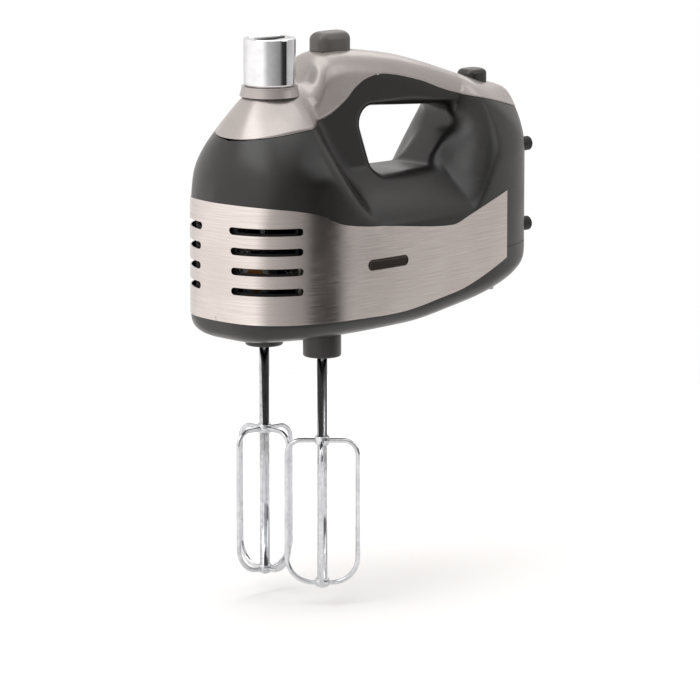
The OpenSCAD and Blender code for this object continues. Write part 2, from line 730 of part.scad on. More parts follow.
// Cord reel in the heel
reel_y = 140;
reel_z = 64;
cheek = [13.5, 15.5];
brake_y = 131;
brake_z = 90;
module reel_frame() from_grip() color([0.3, 0.3, 0.32]) {
    difference() {
        union() {
            for (s = [0, 1]) mirror([s, 0, 0]) {
                box(cheek[0], cheek[1], 124, 155, 43, 83);
                box(cheek[0], cheek[1], brake_y - 4, brake_y + 4, 80, brake_z + 4);
            }
            box(-cheek[1], cheek[1], 124, 155, 42.8, 45);
            translate([0, 130, 25.8]) cylinder(r = 3, h = 18);
            translate([0, 147, 30.2]) cylinder(r = 3, h = 14);
        }
        along_x(2.5, -30, 30, reel_y, reel_z);
        along_x(1.5 + fit, -30, 30, brake_y, brake_z);
    }
}
module reel_axle() from_grip() color([0.7, 0.71, 0.73]) {
    along_x(2.5, -16.5, 16.5, reel_y, reel_z);
}
module reel_drum() from_grip() color([0.85, 0.84, 0.8]) {
    difference() {
        union() {
            along_x(reel_r, -11, -9.4, reel_y, reel_z);
            along_x(reel_r, 9.4, 11, reel_y, reel_z);
            along_x(8, -11, 11, reel_y, reel_z);
        }
        along_x(2.5 + fit, -20, 20, reel_y, reel_z);
    }
}
module slip_rings() from_grip() color([0.8, 0.62, 0.3]) {
    translate([-12, reel_y, reel_z]) rotate([0, 90, 0]) {
        ring(11, 9.6, 0, 1);
        ring(15, 13.6, 0, 1);
    }
}
spiral_turns = 3;
function spiral(r0, r1, k, n) = let (a = 360 * spiral_turns * k / n, r = r0 + (r1 - r0) * k / n)
    [r * cos(a), r * sin(a)];
module reel_spring() from_grip() color([0.6, 0.6, 0.63]) {
    translate([11.4, reel_y, reel_z]) rotate([0, 90, 0]) linear_extrude(1.8)
        polygon(concat([for (k = [0 : 60]) spiral(3.4, 14, k, 60)],
                       [for (k = [60 : -1 : 0]) spiral(2.8, 13.4, k, 60)]));
}

// Internal leads along the side of the motor
lead_route = [[-17, 126, 72], [-29, 110, 62], [-33.5, 70, 61], [-33.5, 12, 61], [-27, -8, 82],
              [-22, -12, 103.9]];
module motor_leads() from_grip() color([0.25, 0.25, 0.6]) {
    for (dy = [0, 2.4]) translate([0, 0, dy]) for (i = [0 : len(lead_route) - 2]) {
        a = lead_route[i];
        b = lead_route[i + 1];
        hull() {
            translate(a) sphere(r = 1, $fn = 8);
            translate(b) sphere(r = 1, $fn = 8);
        }
    }
}

// Controls
dial_bore_top = 166;
module speed_dial() from_grip() color([0.92, 0.92, 0.93]) {
    translate([0, dial_y, 0]) difference() {
        rotate_extrude($fn = 72) polygon([[0, dial_seat_z + 0.3], [dial_r, dial_seat_z + 0.3],
            [dial_r, dial_top - 1.2], [dial_r - 0.35, dial_top - 0.35], [dial_r - 1.2, dial_top],
            [0, dial_top]]);
        translate([0, 0, 140]) cylinder(r = 3, h = dial_bore_top - 140);
        box(-2.1, 2.1, -11, 11, dial_top - 1, dial_top + 1);
    }
}
module dial_stripe() from_grip() color([0.2, 0.2, 0.2]) {
    translate([0, dial_y, 0]) box(-2.1, 2.1, -11, 11, dial_top - 1, dial_top + 0.1);
}
module dial_spindle() from_grip() color([0.7, 0.71, 0.73]) {
    translate([0, dial_y, 0]) {
        translate([0, 0, switch_z[0] + 1]) cylinder(r = 3, h = dial_bore_top - switch_z[0] - 1);
        translate([0, 0, switch_z[1] + 0.4]) difference() {
            cylinder(r = cam_r, h = 3);
            for (k = [0 : 11]) rotate(30 * k + 15) translate([cam_r + 0.5, 0, -1]) cylinder(r = 1.2, h = 5, $fn = 16);
        }
    }
}
eject_stem_y = 20;
plate_z = 68;
module eject_button() from_grip() color([0.4, 0.39, 0.39]) {
    pad(eject_y, eject_half_l, eject_half_w, 152, dial_top, 3);
    box(-4, 4, eject_stem_y - 3, eject_stem_y + 3, plate_z + 3, 153);
}
module eject_plate() from_grip() color([0.75, 0.76, 0.78]) {
    box(-27, 27, -4.5, 4.5, plate_z, plate_z + 3);
    box(-5, 5, 4, 24, plate_z, plate_z + 3);
    for (s = [-1, 1]) translate([s * beater_x, 0, beater_top + 0.3])
        cylinder(r = 2.4, h = plate_z - beater_top + 0.7);
}
rewind_stem_y = 140.4;
rewind_low = 131;
module rewind_button() from_grip() color([0.12, 0.12, 0.12]) {
    pad(rewind_y, rewind_half_l, rewind_half_w, rewind_low, 141.6, 3);
    translate([0, rewind_stem_y, 96]) cylinder(r = 2, h = rewind_low - 95);
    translate([0, rewind_stem_y, brake_z + 1.9]) cylinder(r = 1.2, h = 5);
}
module brake_lever() from_grip() color([0.35, 0.35, 0.37]) {
    along_x(1.5, -cheek[1], cheek[1], brake_y, brake_z);
    along_x(3, -5, 5, brake_y, brake_z);
    box(-4, 4, brake_y, brake_y + 13, brake_z - 1.5, brake_z + 1.5);
    box(-4, 4, brake_y - 9, brake_y, brake_z - 1.5, brake_z + 1.5);
    box(-11, 11, brake_y - 10, brake_y - 6, 75.3, brake_z + 1.5);
}

lower_housing();
socket_collars();
upper_housing();
top_cover();
steel_band();
vent_grille();
badge_plate();
cord_gland();
heel_feet();
base_screws();
gear_case();
gear_case_cover();
gear_case_screws();
lower_spindle_bushes();
upper_spindle_bushes();
front_bearing();
middle_bearing();
rear_bearing();
stator_core();
field_coils();
motor_mounts();
rear_bracket();
motor_bolts();
brush_holders();
carbon_brushes();
brush_springs();
control_board();
heat_sink();
suppressor_capacitor();
speed_switch();
dial_detent_spring();
eject_spring();
rewind_spring();
reel_frame();
reel_axle();
reel_spring();
motor_leads();
armature_shaft();
worm();
armature_core();
armature_windings();
commutator();
cooling_fan();
left_worm_wheel();
left_spindle();
right_worm_wheel();
right_spindle();
left_beater_shaft();
left_beater_wires();
right_beater_shaft();
right_beater_wires();
speed_dial();
dial_stripe();
dial_spindle();
eject_button();
eject_plate();
rewind_button();
brake_lever();
reel_drum();
slip_rings();
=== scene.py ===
import json
import bpy
import bmesh
import numpy as np
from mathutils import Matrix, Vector


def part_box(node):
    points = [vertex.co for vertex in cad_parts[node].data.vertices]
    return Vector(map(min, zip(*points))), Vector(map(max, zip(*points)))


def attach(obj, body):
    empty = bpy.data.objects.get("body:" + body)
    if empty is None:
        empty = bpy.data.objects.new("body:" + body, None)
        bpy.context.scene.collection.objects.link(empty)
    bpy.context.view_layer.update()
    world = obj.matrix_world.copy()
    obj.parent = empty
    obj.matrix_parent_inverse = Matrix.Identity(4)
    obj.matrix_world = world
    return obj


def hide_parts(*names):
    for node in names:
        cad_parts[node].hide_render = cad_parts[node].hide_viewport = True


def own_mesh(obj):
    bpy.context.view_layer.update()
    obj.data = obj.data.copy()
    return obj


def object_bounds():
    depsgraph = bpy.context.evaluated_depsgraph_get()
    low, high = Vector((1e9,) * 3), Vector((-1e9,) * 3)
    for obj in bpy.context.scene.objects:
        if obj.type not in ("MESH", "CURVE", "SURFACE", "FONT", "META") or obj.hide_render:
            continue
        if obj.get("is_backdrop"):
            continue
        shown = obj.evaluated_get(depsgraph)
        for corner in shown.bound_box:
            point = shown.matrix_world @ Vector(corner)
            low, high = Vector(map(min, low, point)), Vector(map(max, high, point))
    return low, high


bl_info = {
    "name": "Hand mixer looks",
    "version": (1, 0, 0),
    "blender": (4, 5, 0),
    "location": "View3D > Sidebar > Hand mixer",
    "description": "Finished shells, controls, beaters, finishes and stage for the hand mixer",
    "category": "Add Mesh",
}

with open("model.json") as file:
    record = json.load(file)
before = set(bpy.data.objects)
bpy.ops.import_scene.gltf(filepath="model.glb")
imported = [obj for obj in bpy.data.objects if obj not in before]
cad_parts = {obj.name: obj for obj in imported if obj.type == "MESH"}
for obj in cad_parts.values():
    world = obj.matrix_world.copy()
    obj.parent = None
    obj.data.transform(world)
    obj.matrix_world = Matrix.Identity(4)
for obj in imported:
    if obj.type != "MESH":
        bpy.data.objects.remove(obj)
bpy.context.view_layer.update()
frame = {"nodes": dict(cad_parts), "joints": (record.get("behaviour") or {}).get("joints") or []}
MM = 0.001

# The mixer's own drawing point: midway between the beater axes, level with the socket rims
SOCKET_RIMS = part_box("socket_collars")[0][2]
beater_low, beater_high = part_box("left_beater_shaft")
DRAWING_POINT = np.array([0.0, (beater_low[1] + beater_high[1]) / 2, SOCKET_RIMS])
BEATER_X = (beater_low[0] + beater_high[0]) / 2 / MM
dial_low, dial_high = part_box("speed_dial")
eject_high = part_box("eject_button")[1]
rewind_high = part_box("rewind_button")[1]
# How far each sliding joint travels, in millimetres
TRAVEL = {joint["name"]: joint["range_m"][1] / MM for joint in frame["joints"] if "range_m" in joint}


def drawn(point):
    """A place in the row frame, told in millimetres from the drawing point."""
    return (np.asarray(point, float) - DRAWING_POINT) / MM


# ---------------------------------------------------------------- shape of the body, in mm
# Side view, as (y, z) points: the crest, the belly, the silver cover's edge and the band's two edges
TOP_LINE = [(-56, 90), (-52, 106), (-42, 126), (-31, 140), (-23, 144.4), (-4, 145), (3, 147.5),
            (9, 157.5), (16, 160.8), (32, 161.2), (68, 156), (91, 150), (113, 143), (135, 136),
            (153, 131.5), (161, 126), (165, 112)]
BOTTOM_LINE = [(-56, 26), (-52, 15), (-42, 11.2), (50, 11.2), (84, 15), (118, 20), (147, 27),
               (160, 33), (165, 44)]
COVER_LINE = [(-60, 117), (-24, 123), (0, 125.5), (12, 128.5), (24, 135.5), (31, 141.5), (39, 145.5),
              (52, 147), (80, 141), (103, 133), (138, 124.5), (170, 116)]
BAND_TOP = [(-60, 87), (-35, 84), (-20, 80.5), (-4, 74), (37, 69), (79, 65), (93, 68.5),
            (111, 73.5), (130, 78)]
BAND_LOW = [(-60, 23), (0, 22), (40, 22), (71, 26), (90, 29), (122, 38), (135, 42)]
NOSE_Y, HEEL_Y = TOP_LINE[0][0], TOP_LINE[-1][0]
SEAM_Z = 45.8
# How far each housing stops short of the seam, and each cover or band edge of its own line
SEAM_GAP, EDGE_GAP = 0.12, 0.15
# Plan: two half ellipses, squared by PLAN_POWER, that meet at BODY_MID
BODY_MID = 5.0
FRONT_REACH = 61.0
REAR_REACH = 160.0
BODY_HALF_W = 45.0
GRIP_HALF_W = 16.5
PLAN_POWER = 2.6
# Where the body starts to narrow to the grip and over what height, with what the ends add to each
SHOULDER_Z, SHOULDER_H = 68.0, 32.0
END_SHOULDER_Z, END_SHOULDER_H = 27.0, 23.0
# Rounding of the top edge along the grip, with what nose and heel add to it, and of the base
TOP_ROUND, NOSE_ROUND, HEEL_ROUND, TOP_POWER = 16.0, 29.0, 14.0, 2.3
BASE_ROUND, BASE_POWER = 13.0, 3.2
# Finger opening: four circles as (y, z, radius), the place inside them that rays start from, its rim
OPENING = [(46, 121, 9.0), (100, 117, 9.0), (86, 101, 7.5), (52, 101, 7.5)]
OPENING_MID = (73.0, 112.0)
RIM_R = 6.0
# Band: where it ends along the side, its louvre slots, and the window in the housings behind them
BAND_END = 129.0
SLOT_Z = [40.5, 51.2, 61.9, 72.6]
SLOT_R = 2.0
SLOT_IN_X = 12.0
SLOT_OUT_Y = -30.0
WINDOW_IN_X, WINDOW_OUT_Y, WINDOW_LOW, WINDOW_HIGH = 10.0, -27.5, 37.0, 78.0
# Controls and plaque: places, half sizes and heights
KEY_CORNER = 3.0
DIAL_Y = -16.5
DIAL_FOOT, DIAL_TOP = drawn(dial_low)[2], drawn(dial_high)[2]
EJECT_Y, EJECT_LOW, EJECT_TOP = 27.5, 150.0, drawn(eject_high)[2]
EJECT_HALF_L, EJECT_HALF_W = 11.4, 6.9
REWIND_Y, REWIND_LOW, REWIND_TOP = 135.5, 131.0, drawn(rewind_high)[2]
REWIND_HALF_L, REWIND_HALF_W = 7.4, 6.4
PLAQUE_Y, PLAQUE_Z = 28.0, 50.0
PLAQUE_HALF_L, PLAQUE_HALF_H, PLAQUE_T = 15.0, 3.0, 0.85
# Beaters: radii, heights of the wires' ends, and the radii of their two bends
SHAFT_R, WIRE_R, CAGE_R = 2.75, 1.3, 19.2
CAGE_TOP, CAGE_LOW = -46.3, -124.7
TOP_BEND, LOW_BEND = 8.0, 14.0
# How far to the picture's right of the beaters the camera aims
VIEW_RIGHT = 30.8
# Radius of the floor, in metres
FLOOR_R = 0.6
# Brightness of the surround at each heading in degrees
SURROUND = [(-180, 0.95), (-150, 1.2), (-74, 1.35), (-50, 0.62), (-13, 0.4), (3, 0.32), (15, 0.05),
            (36, 0.02), (41, 0.6), (75, 0.7), (120, 0.85), (180, 0.95)]


def curve(points, y):
    """Cubic curve through side-view points. At each point its slope is the slope of the line between
    the two neighbours, and each span is the cubic that has its two end heights and end slopes."""
    p = np.array(points, float)
    i = np.clip(np.searchsorted(p[:, 0], y, side="right") - 1, 0, len(p) - 2)
    lower, upper = np.maximum(np.arange(len(p)) - 1, 0), np.minimum(np.arange(len(p)) + 1, len(p) - 1)
    slope = (p[upper, 1] - p[lower, 1]) / (p[upper, 0] - p[lower, 0])
    w = p[i + 1, 0] - p[i, 0]
    t = np.clip((y - p[i, 0]) / w, 0, 1)
    return ((2 * t**3 - 3 * t**2 + 1) * p[i, 1] + (t**3 - 2 * t**2 + t) * w * slope[i]
            + (3 * t**2 - 2 * t**3) * p[i + 1, 1] + (t**3 - t**2) * w * slope[i + 1])


def ease(t):
    """Smooth step from 0 to 1."""
    u = np.clip(t, 0, 1)
    return u * u * (3 - 2 * u)


def blunt(t, power):
    """Edge of a squared circle: 0 at the edge, 1 once t reaches 1."""
    return np.maximum(1 - (1 - np.clip(t, 0, 1)) ** power, 0) ** (1 / power)


def plan(y):
    """Half width of the plan as a part of the greatest: a squared ellipse, long towards the heel."""
    reach = np.where(y < BODY_MID, FRONT_REACH, REAR_REACH)
    return np.maximum(1 - np.minimum(1, np.abs(y - BODY_MID) / reach) ** PLAN_POWER, 0) ** (1 / PLAN_POWER)


def end_weight(y):
    """1 over the nose and the heel, 0 along the grip."""
    return np.where(y < 60, 1 - ease((y + 15) / 40), ease((y - 95) / 30))


def half_width(y, z):
    """Half width of the body at a side-view place: plan, shoulder, rounded top and rounded base."""
    ends = end_weight(y)
    shoulder = ease((z - SHOULDER_Z - END_SHOULDER_Z * ends) / (SHOULDER_H + END_SHOULDER_H * ends))
    edge = TOP_ROUND + NOSE_ROUND * (1 - ease((y + 48) / 46)) + HEEL_ROUND * ease((y - 125) / 30)
    width = BODY_HALF_W + (GRIP_HALF_W - BODY_HALF_W) * shoulder
    return (width * plan(y) * blunt((curve(TOP_LINE, y) - z) / edge, TOP_POWER)
            * blunt((z - curve(BOTTOM_LINE, y)) / BASE_ROUND, BASE_POWER))


# ---------------------------------------------------------------- mesh helpers
def grid_faces(rows, columns, wrap=False, keep=None):
    """Four-sided faces of a grid, row by row. keep is a mask of the cells that stay."""
    i, j = np.meshgrid(np.arange(rows - 1), np.arange(columns if wrap else columns - 1), indexing="ij")
    after = (j + 1) % columns
    faces = np.stack([i * columns + j, i * columns + after, (i + 1) * columns + after,
                      (i + 1) * columns + j], -1)
    return faces[keep] if keep is not None else faces.reshape(-1, 4)


def join(*patches):
    """Several (points, faces) patches as one."""
    points, faces, start = [], [], 0
    for p, f in patches:
        points.append(p.reshape(-1, 3))
        faces.append(f + start)
        start += points[-1].shape[0]
    return np.concatenate(points), np.concatenate(faces)


def mirrored(points, faces):
    """The same patch on the other side of the middle plane, still facing outwards."""
    return points.reshape(-1, 3) * [-1, 1, 1], faces[:, ::-1]


def build(name, points, faces, material, body, stands_for=(), recalc=True):
    """One finished piece: points in mm from the drawing point, placed in the row frame."""
    merge = 1e-6
    mesh = bpy.data.meshes.new(name)
    mesh.from_pydata((points.reshape(-1, 3) * MM + DRAWING_POINT).tolist(), [], faces.tolist())
    work = bmesh.new()
    work.from_mesh(mesh)
    bmesh.ops.remove_doubles(work, verts=work.verts, dist=merge)
    bmesh.ops.dissolve_degenerate(work, edges=work.edges, dist=merge / 10)
    if recalc:
        bmesh.ops.recalc_face_normals(work, faces=work.faces)
    work.to_mesh(mesh)
    work.free()
    mesh.polygons.foreach_set("use_smooth", np.ones(len(mesh.polygons), bool))
    mesh.materials.append(material)
    piece = bpy.data.objects.new(name, mesh)
    bpy.context.collection.objects.link(piece)
    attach(piece, body)
    if stands_for:
        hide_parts(*stands_for)
    return piece


def revolve(profile, centre, turns=96):
    """A profile of (radius, height) points carried round a vertical axis through centre."""
    profile = np.array(profile, float)
    a = np.linspace(0, 2 * np.pi, turns, endpoint=False)
    r, h = profile[:, :1], profile[:, 1:]
    points = np.stack([centre[0] + r * np.cos(a), centre[1] + r * np.sin(a),
                       centre[2] + h + 0 * a], -1)
    return points, grid_faces(len(profile), turns, wrap=True)[:, ::-1]


def tube(path, radius, sides=14):
    """A circle carried along a path, square to it, with its ends drawn in to points."""
    path = np.asarray(path, float)
    step = np.gradient(path, axis=0)
    step /= np.linalg.norm(step, axis=1, keepdims=True)
    aslant = np.array([0.23, 0.91, 0.34])  # a heading that no path here follows
    across = np.cross(step, aslant)
    across /= np.linalg.norm(across, axis=1, keepdims=True)
    up = np.cross(step, across)
    a = np.linspace(0, 2 * np.pi, sides, endpoint=False)
    r = np.broadcast_to(np.asarray(radius, float), (len(path),))[:, None, None]
    points = (path[:, None] + r * (np.cos(a)[None, :, None] * across[:, None]
                                   + np.sin(a)[None, :, None] * up[:, None]))
    points = np.concatenate([np.repeat(path[:1, None], sides, 1), points,
                             np.repeat(path[-1:, None], sides, 1)])
    return points, grid_faces(len(path) + 2, sides, wrap=True)


def fillet(corner_a, corner_b, corner_c, r, steps=6):
    """Round the corner b of a profile with a parabola that starts and ends r away from it."""
    a, b, c = (np.array(v, float) for v in (corner_a, corner_b, corner_c))
    start = b + (a - b) / np.linalg.norm(a - b) * r
    end = b + (c - b) / np.linalg.norm(c - b) * r
    t = np.linspace(0, 1, steps)[:, None]
    return ((1 - t) ** 2 * start + 2 * t * (1 - t) * b + t**2 * end).tolist()


def rounded_profile(points, radii, steps=6):
    """A profile through the points with each inner corner rounded by its radius."""
    out = [list(points[0])]
    for k in range(1, len(points) - 1):
        if radii[k] > 0:
            out += fillet(points[k - 1], points[k], points[k + 1], radii[k], steps)
        else:
            out.append(list(points[k]))
    out.append(list(points[-1]))
    return out


# ---------------------------------------------------------------- finishes
def linear(code):
    """An sRGB hex colour as linear light."""
    c = np.array([int(code[i:i + 2], 16) for i in (1, 3, 5)]) / 255
    c = np.where(c <= 0.04045, c / 12.92, ((c + 0.055) / 1.055) ** 2.4)
    return (*c.tolist(), 1.0)


def add(tree, kind, settings=None, links=None):
    """One node with its own properties or input values set, and the sockets that feed it linked."""
    node = tree.nodes.new(kind)
    for key, value in (settings or {}).items():
        if isinstance(key, str) and key.islower():
            setattr(node, key, value)
        else:
            node.inputs[key].default_value = value
    for key, socket in (links or {}).items():
        tree.links.new(socket, node.inputs[key])
    return node.outputs


def finish(name, colour, shade, roughness, spread, grain_mm, bump_mm, stretch=(1, 1, 1), metallic=0.0,
           ior=None, coat=0.0, anisotropic=0.0, patch_mm=25.0):
    """Two close shades in soft patches, and a grain that sets roughness and relief.
    stretch below 1 draws the grain out along that axis. Sizes are millimetres on the real thing."""
    material = bpy.data.materials.new(name)
    material.use_nodes = True
    tree = material.node_tree
    tree.nodes.clear()
    place = add(tree, "ShaderNodeTexCoord")["Object"]
    lie = add(tree, "ShaderNodeMapping", {"Scale": stretch}, {"Vector": place})["Vector"]
    patch = add(tree, "ShaderNodeTexNoise", {"Scale": 1 / (patch_mm * MM), "Detail": 3.0},
                {"Vector": place})["Fac"]
    grain = add(tree, "ShaderNodeTexNoise", {"Scale": 1 / (grain_mm * MM), "Detail": 3.0},
                {"Vector": lie})["Fac"]
    both = add(tree, "ShaderNodeMath", {"operation": "ADD"}, {0: patch, 1: grain})["Value"]
    share = add(tree, "ShaderNodeMapRange", {"From Min": 0.75, "From Max": 1.25}, {"Value": both})["Result"]
    tint = add(tree, "ShaderNodeMix", {"data_type": "RGBA", 6: linear(colour), 7: linear(shade)},
               {0: share})[2]
    haze = add(tree, "ShaderNodeMapRange", {"From Min": 0.8, "From Max": 1.2, "To Min": roughness - spread,
                                            "To Max": roughness + spread}, {"Value": both})["Result"]
    relief = add(tree, "ShaderNodeBump", {"Distance": bump_mm * MM}, {"Height": grain})["Normal"]
    settings = {"Metallic": metallic, "Coat Weight": coat, "Anisotropic": anisotropic}
    if ior:
        settings["IOR"] = ior
    surface = add(tree, "ShaderNodeBsdfPrincipled", settings,
                  {"Base Color": tint, "Roughness": haze, "Normal": relief})["BSDF"]
    add(tree, "ShaderNodeOutputMaterial", links={"Surface": surface})
    return material


FINISH = {
    # moulded ABS, spark-eroded to a fine satin grain: wide soft highlights on near-black
    "shell": finish("textured_black_abs", "#151312", "#0F0D0D", 0.33, 0.05, 0.5, 0.012, ior=1.53),
    # painted ABS: fine metal flake under clear lacquer gives a warm satin silver
    "cover": finish("satin_silver_painted_abs", "#B3ACA9", "#A49D9A", 0.32, 0.06, 0.35, 0.004,
                    metallic=0.6, ior=1.5, coat=0.2),
    # rolled stainless sheet brushed along its length: fine level lines spread highlights upright
    # (real lines are about 0.1 mm apart; drawn coarser so that they show)
    "band": finish("brushed_stainless_steel", "#DDD5D1", "#CCC3BF", 0.2, 0.05, 0.45, 0.003,
                   stretch=(0.02, 0.02, 1.0), metallic=1.0, anisotropic=0.3, patch_mm=60),
    # plated and polished: mirror-bright with a faint haze of handling
    "chrome": finish("polished_chrome_plate", "#E6E7E9", "#D8D9DB", 0.08, 0.03, 6.0, 0.001,
                     metallic=1.0, patch_mm=12),
    # chromed drawn wire: bright, with faint draw lines that blur the reflections
    "beater": finish("chromed_drawn_steel", "#D5D7DA", "#BEC0C4", 0.14, 0.04, 2.5, 0.004, metallic=1.0,
                     patch_mm=10),
    # compression-moulded rubber: dull, slightly dusty black
    "pad": finish("moulded_black_rubber", "#1D1C1B", "#131211", 0.7, 0.08, 0.7, 0.02, ior=1.52),
    # unpainted inner moulding: matt black
    "vent": finish("matt_black_polypropylene", "#121111", "#0B0A0A", 0.6, 0.08, 0.6, 0.01, ior=1.49),
    # anodised plaque: dark, with a fine satin sheen
    "plaque": finish("dark_anodised_aluminium", "#403B39", "#322E2C", 0.32, 0.05, 0.4, 0.004, metallic=1.0),
    # moulded keys, lightly polished: soft highlights round their edges
    "eject": finish("satin_grey_abs", "#5E5A58", "#504C4A", 0.33, 0.05, 0.4, 0.006, ior=1.53),
    "rewind": finish("satin_charcoal_abs", "#2C2927", "#211F1E", 0.33, 0.05, 0.4, 0.006, ior=1.53),
    # dark inlay let into the dial's top: flat satin, so that it reads against the chrome
    "stripe": finish("dark_grey_inlay", "#2B2A2A", "#1F1E1E", 0.3, 0.05, 0.5, 0.004, ior=1.5),
    # bright zinc on stamped and turned steel: pale grey with a soft shine
    "zinc": finish("zinc_plated_steel", "#BFBDB4", "#A8A69C", 0.35, 0.08, 0.8, 0.004, metallic=1.0),
    # cast and shot-blasted: an even, dull grey with no clear reflections
    "cast": finish("die_cast_aluminium", "#A3A5A8", "#8E9093", 0.48, 0.1, 1.0, 0.02, metallic=1.0),
    # pressed and sintered powder: warm brown, fine pores scatter the light
    "bronze": finish("sintered_bronze", "#A8743E", "#8E5F30", 0.5, 0.1, 0.5, 0.02, metallic=1.0),
    # stamped sheets stacked along the shaft: fine lines across the stack
    "lamination": finish("laminated_electrical_steel", "#77787C", "#56575B", 0.45, 0.1, 0.5, 0.03,
                         stretch=(0.05, 1.0, 0.05), metallic=1.0),
    # wound wire under enamel: glossy lines that follow the winding
    "copper": finish("enamelled_copper_wire", "#B3602C", "#8C4519", 0.3, 0.08, 0.5, 0.06,
                     stretch=(1.0, 0.08, 1.0), metallic=1.0, coat=0.5),
    # turned on a lathe: bright, pinkish copper
    "segments": finish("turned_commutator_copper", "#C98A5A", "#A96C40", 0.25, 0.08, 0.4, 0.004,
                       metallic=1.0),
    # drawn strip: warm yellow with a soft shine
    "brass": finish("drawn_brass", "#C9A560", "#B08C48", 0.28, 0.07, 0.8, 0.004, metallic=1.0),
    # pressed through a die: pale, with draw lines along its length
    "fins": finish("extruded_aluminium", "#C4C6CA", "#B0B2B6", 0.35, 0.08, 0.5, 0.006,
                   stretch=(1.0, 0.05, 1.0), metallic=1.0),
    # drawn wire, left bare: small bright highlights along each turn
    "spring": finish("drawn_spring_steel", "#B9BBC0", "#9C9EA3", 0.25, 0.08, 0.3, 0.004, metallic=1.0),
    # oxide-blackened sheet: dark with a dull metal sheen
    "frame": finish("blackened_steel_sheet", "#5A5A5F", "#46464B", 0.42, 0.08, 1.0, 0.01, metallic=1.0),
    # ground to size: clean and bright, with a slightly hazy reflection
    "ground": finish("ground_shaft_steel", "#B5B6BA", "#9D9EA2", 0.22, 0.06, 0.3, 0.003, metallic=1.0),
    # pressed powder: matt near-black with a faint sheen
    "carbon": finish("pressed_carbon", "#2B2B2C", "#1C1C1D", 0.6, 0.08, 0.4, 0.01, ior=1.6),
    # woven glass in green resin under lacquer
    "board": finish("epoxy_glass_board", "#1F5A36", "#17472A", 0.35, 0.08, 0.8, 0.01, ior=1.55, coat=0.4),
    # cast resin case: yellow, slightly glossy
    "capacitor": finish("moulded_epoxy_case", "#C99A1E", "#B58815", 0.4, 0.08, 0.8, 0.01, ior=1.55),
    # hard moulded case: dark grey, satin
    "switch": finish("moulded_thermoset", "#2F2F33", "#232327", 0.5, 0.08, 0.6, 0.01, ior=1.55),
    # soft extruded sleeve: blue, with a long gentle highlight
    "lead": finish("pvc_wire_insulation", "#24306E", "#1B2558", 0.35, 0.06, 1.0, 0.01, ior=1.54),
    # moulded and left uncoloured: creamy white, satin
    "nylon": finish("natural_nylon", "#E8E2D2", "#D9D2BF", 0.4, 0.06, 0.8, 0.01, ior=1.53),
}
FINISH_NODES = {
    "shell": "socket_collars upper_housing lower_housing", "cover": "top_cover", "band": "steel_band",
    "vent": "vent_grille", "plaque": "badge_plate", "pad": "cord_gland heel_feet motor_mounts",
    "zinc": "base_screws gear_case_screws motor_bolts", "cast": "gear_case gear_case_cover rear_bracket",
    "bronze": "lower_spindle_bushes upper_spindle_bushes front_bearing middle_bearing rear_bearing",
    "lamination": "stator_core armature_core", "copper": "field_coils armature_windings",
    "brass": "brush_holders slip_rings", "carbon": "carbon_brushes", "segments": "commutator",
    "spring": "brush_springs dial_detent_spring eject_spring rewind_spring reel_spring",
    "board": "control_board", "fins": "heat_sink", "capacitor": "suppressor_capacitor",
    "switch": "speed_switch", "frame": "reel_frame brake_lever", "lead": "motor_leads",
    "ground": "reel_axle armature_shaft worm left_spindle right_spindle dial_spindle eject_plate",
    "nylon": "cooling_fan left_worm_wheel right_worm_wheel reel_drum", "chrome": "speed_dial",
    "stripe": "dial_stripe", "eject": "eject_button", "rewind": "rewind_button",
    "beater": "left_beater_shaft right_beater_shaft left_beater_wires right_beater_wires",
}


def hex_code(light):
    """Linear light as an sRGB hex colour: linear() turned round."""
    c = np.array(light)
    c = np.where(c <= 0.0031308, c * 12.92, 1.055 * c ** (1 / 2.4) - 0.055)
    return "#" + "".join(f"{round(255 * part):02X}" for part in c.tolist())


def floor_finish(colour):
    """Matt painted board with a faint unevenness: pale, no gloss."""
    pale = hex_code(colour)
    return finish("matt_painted_board", pale, pale, 0.8, 0.05, 2.0, 0.005, ior=1.45)


def studio_air():
    """Soft surround: white to the eye. Reflections see it by heading, told from the mixer's left (+X)
    towards its heel: a bright front, falling to a dark gap, then an even pale side."""
    air = bpy.data.worlds.new("studio")
    air.use_nodes = True
    tree = air.node_tree
    tree.nodes.clear()
    way = add(tree, "ShaderNodeTexCoord")["Generated"]
    axes = add(tree, "ShaderNodeSeparateXYZ", links={0: way})
    heading = add(tree, "ShaderNodeMath", {"operation": "ARCTAN2"}, {0: axes["Y"], 1: axes["X"]})["Value"]
    round_share = add(tree, "ShaderNodeMapRange", {"From Min": -np.pi, "From Max": np.pi},
                      {"Value": heading})["Result"]
    ramp = tree.nodes.new("ShaderNodeValToRGB")
    tree.links.new(round_share, ramp.inputs["Fac"])
    stops = ramp.color_ramp.elements
    stops.remove(stops[1])
    for k, (degrees, light) in enumerate(SURROUND):
        stop = stops[0] if k == 0 else stops.new(degrees / 360 + 0.5)
        stop.position = degrees / 360 + 0.5
        stop.color = (light, light * 0.975, light * 0.96, 1)
    over = add(tree, "ShaderNodeMapRange", {"interpolation_type": "SMOOTHSTEP", "From Min": 0.45,
                                            "From Max": 0.85}, {"Value": axes["Z"]})["Result"]
    shade = add(tree, "ShaderNodeMix", {"data_type": "RGBA", 7: (0.9, 0.88, 0.87, 1)},
                {0: over, 6: ramp.outputs["Color"]})[2]
    seen = add(tree, "ShaderNodeLightPath")["Is Camera Ray"]
    colour = add(tree, "ShaderNodeMix", {"data_type": "RGBA", 7: (1.0, 1.0, 1.0, 1)}, {0: seen, 6: shade})[2]
    glow = add(tree, "ShaderNodeBackground", {"Strength": 1.0}, {"Color": colour})["Background"]
    add(tree, "ShaderNodeOutputWorld", links={"Surface": glow})
    return air


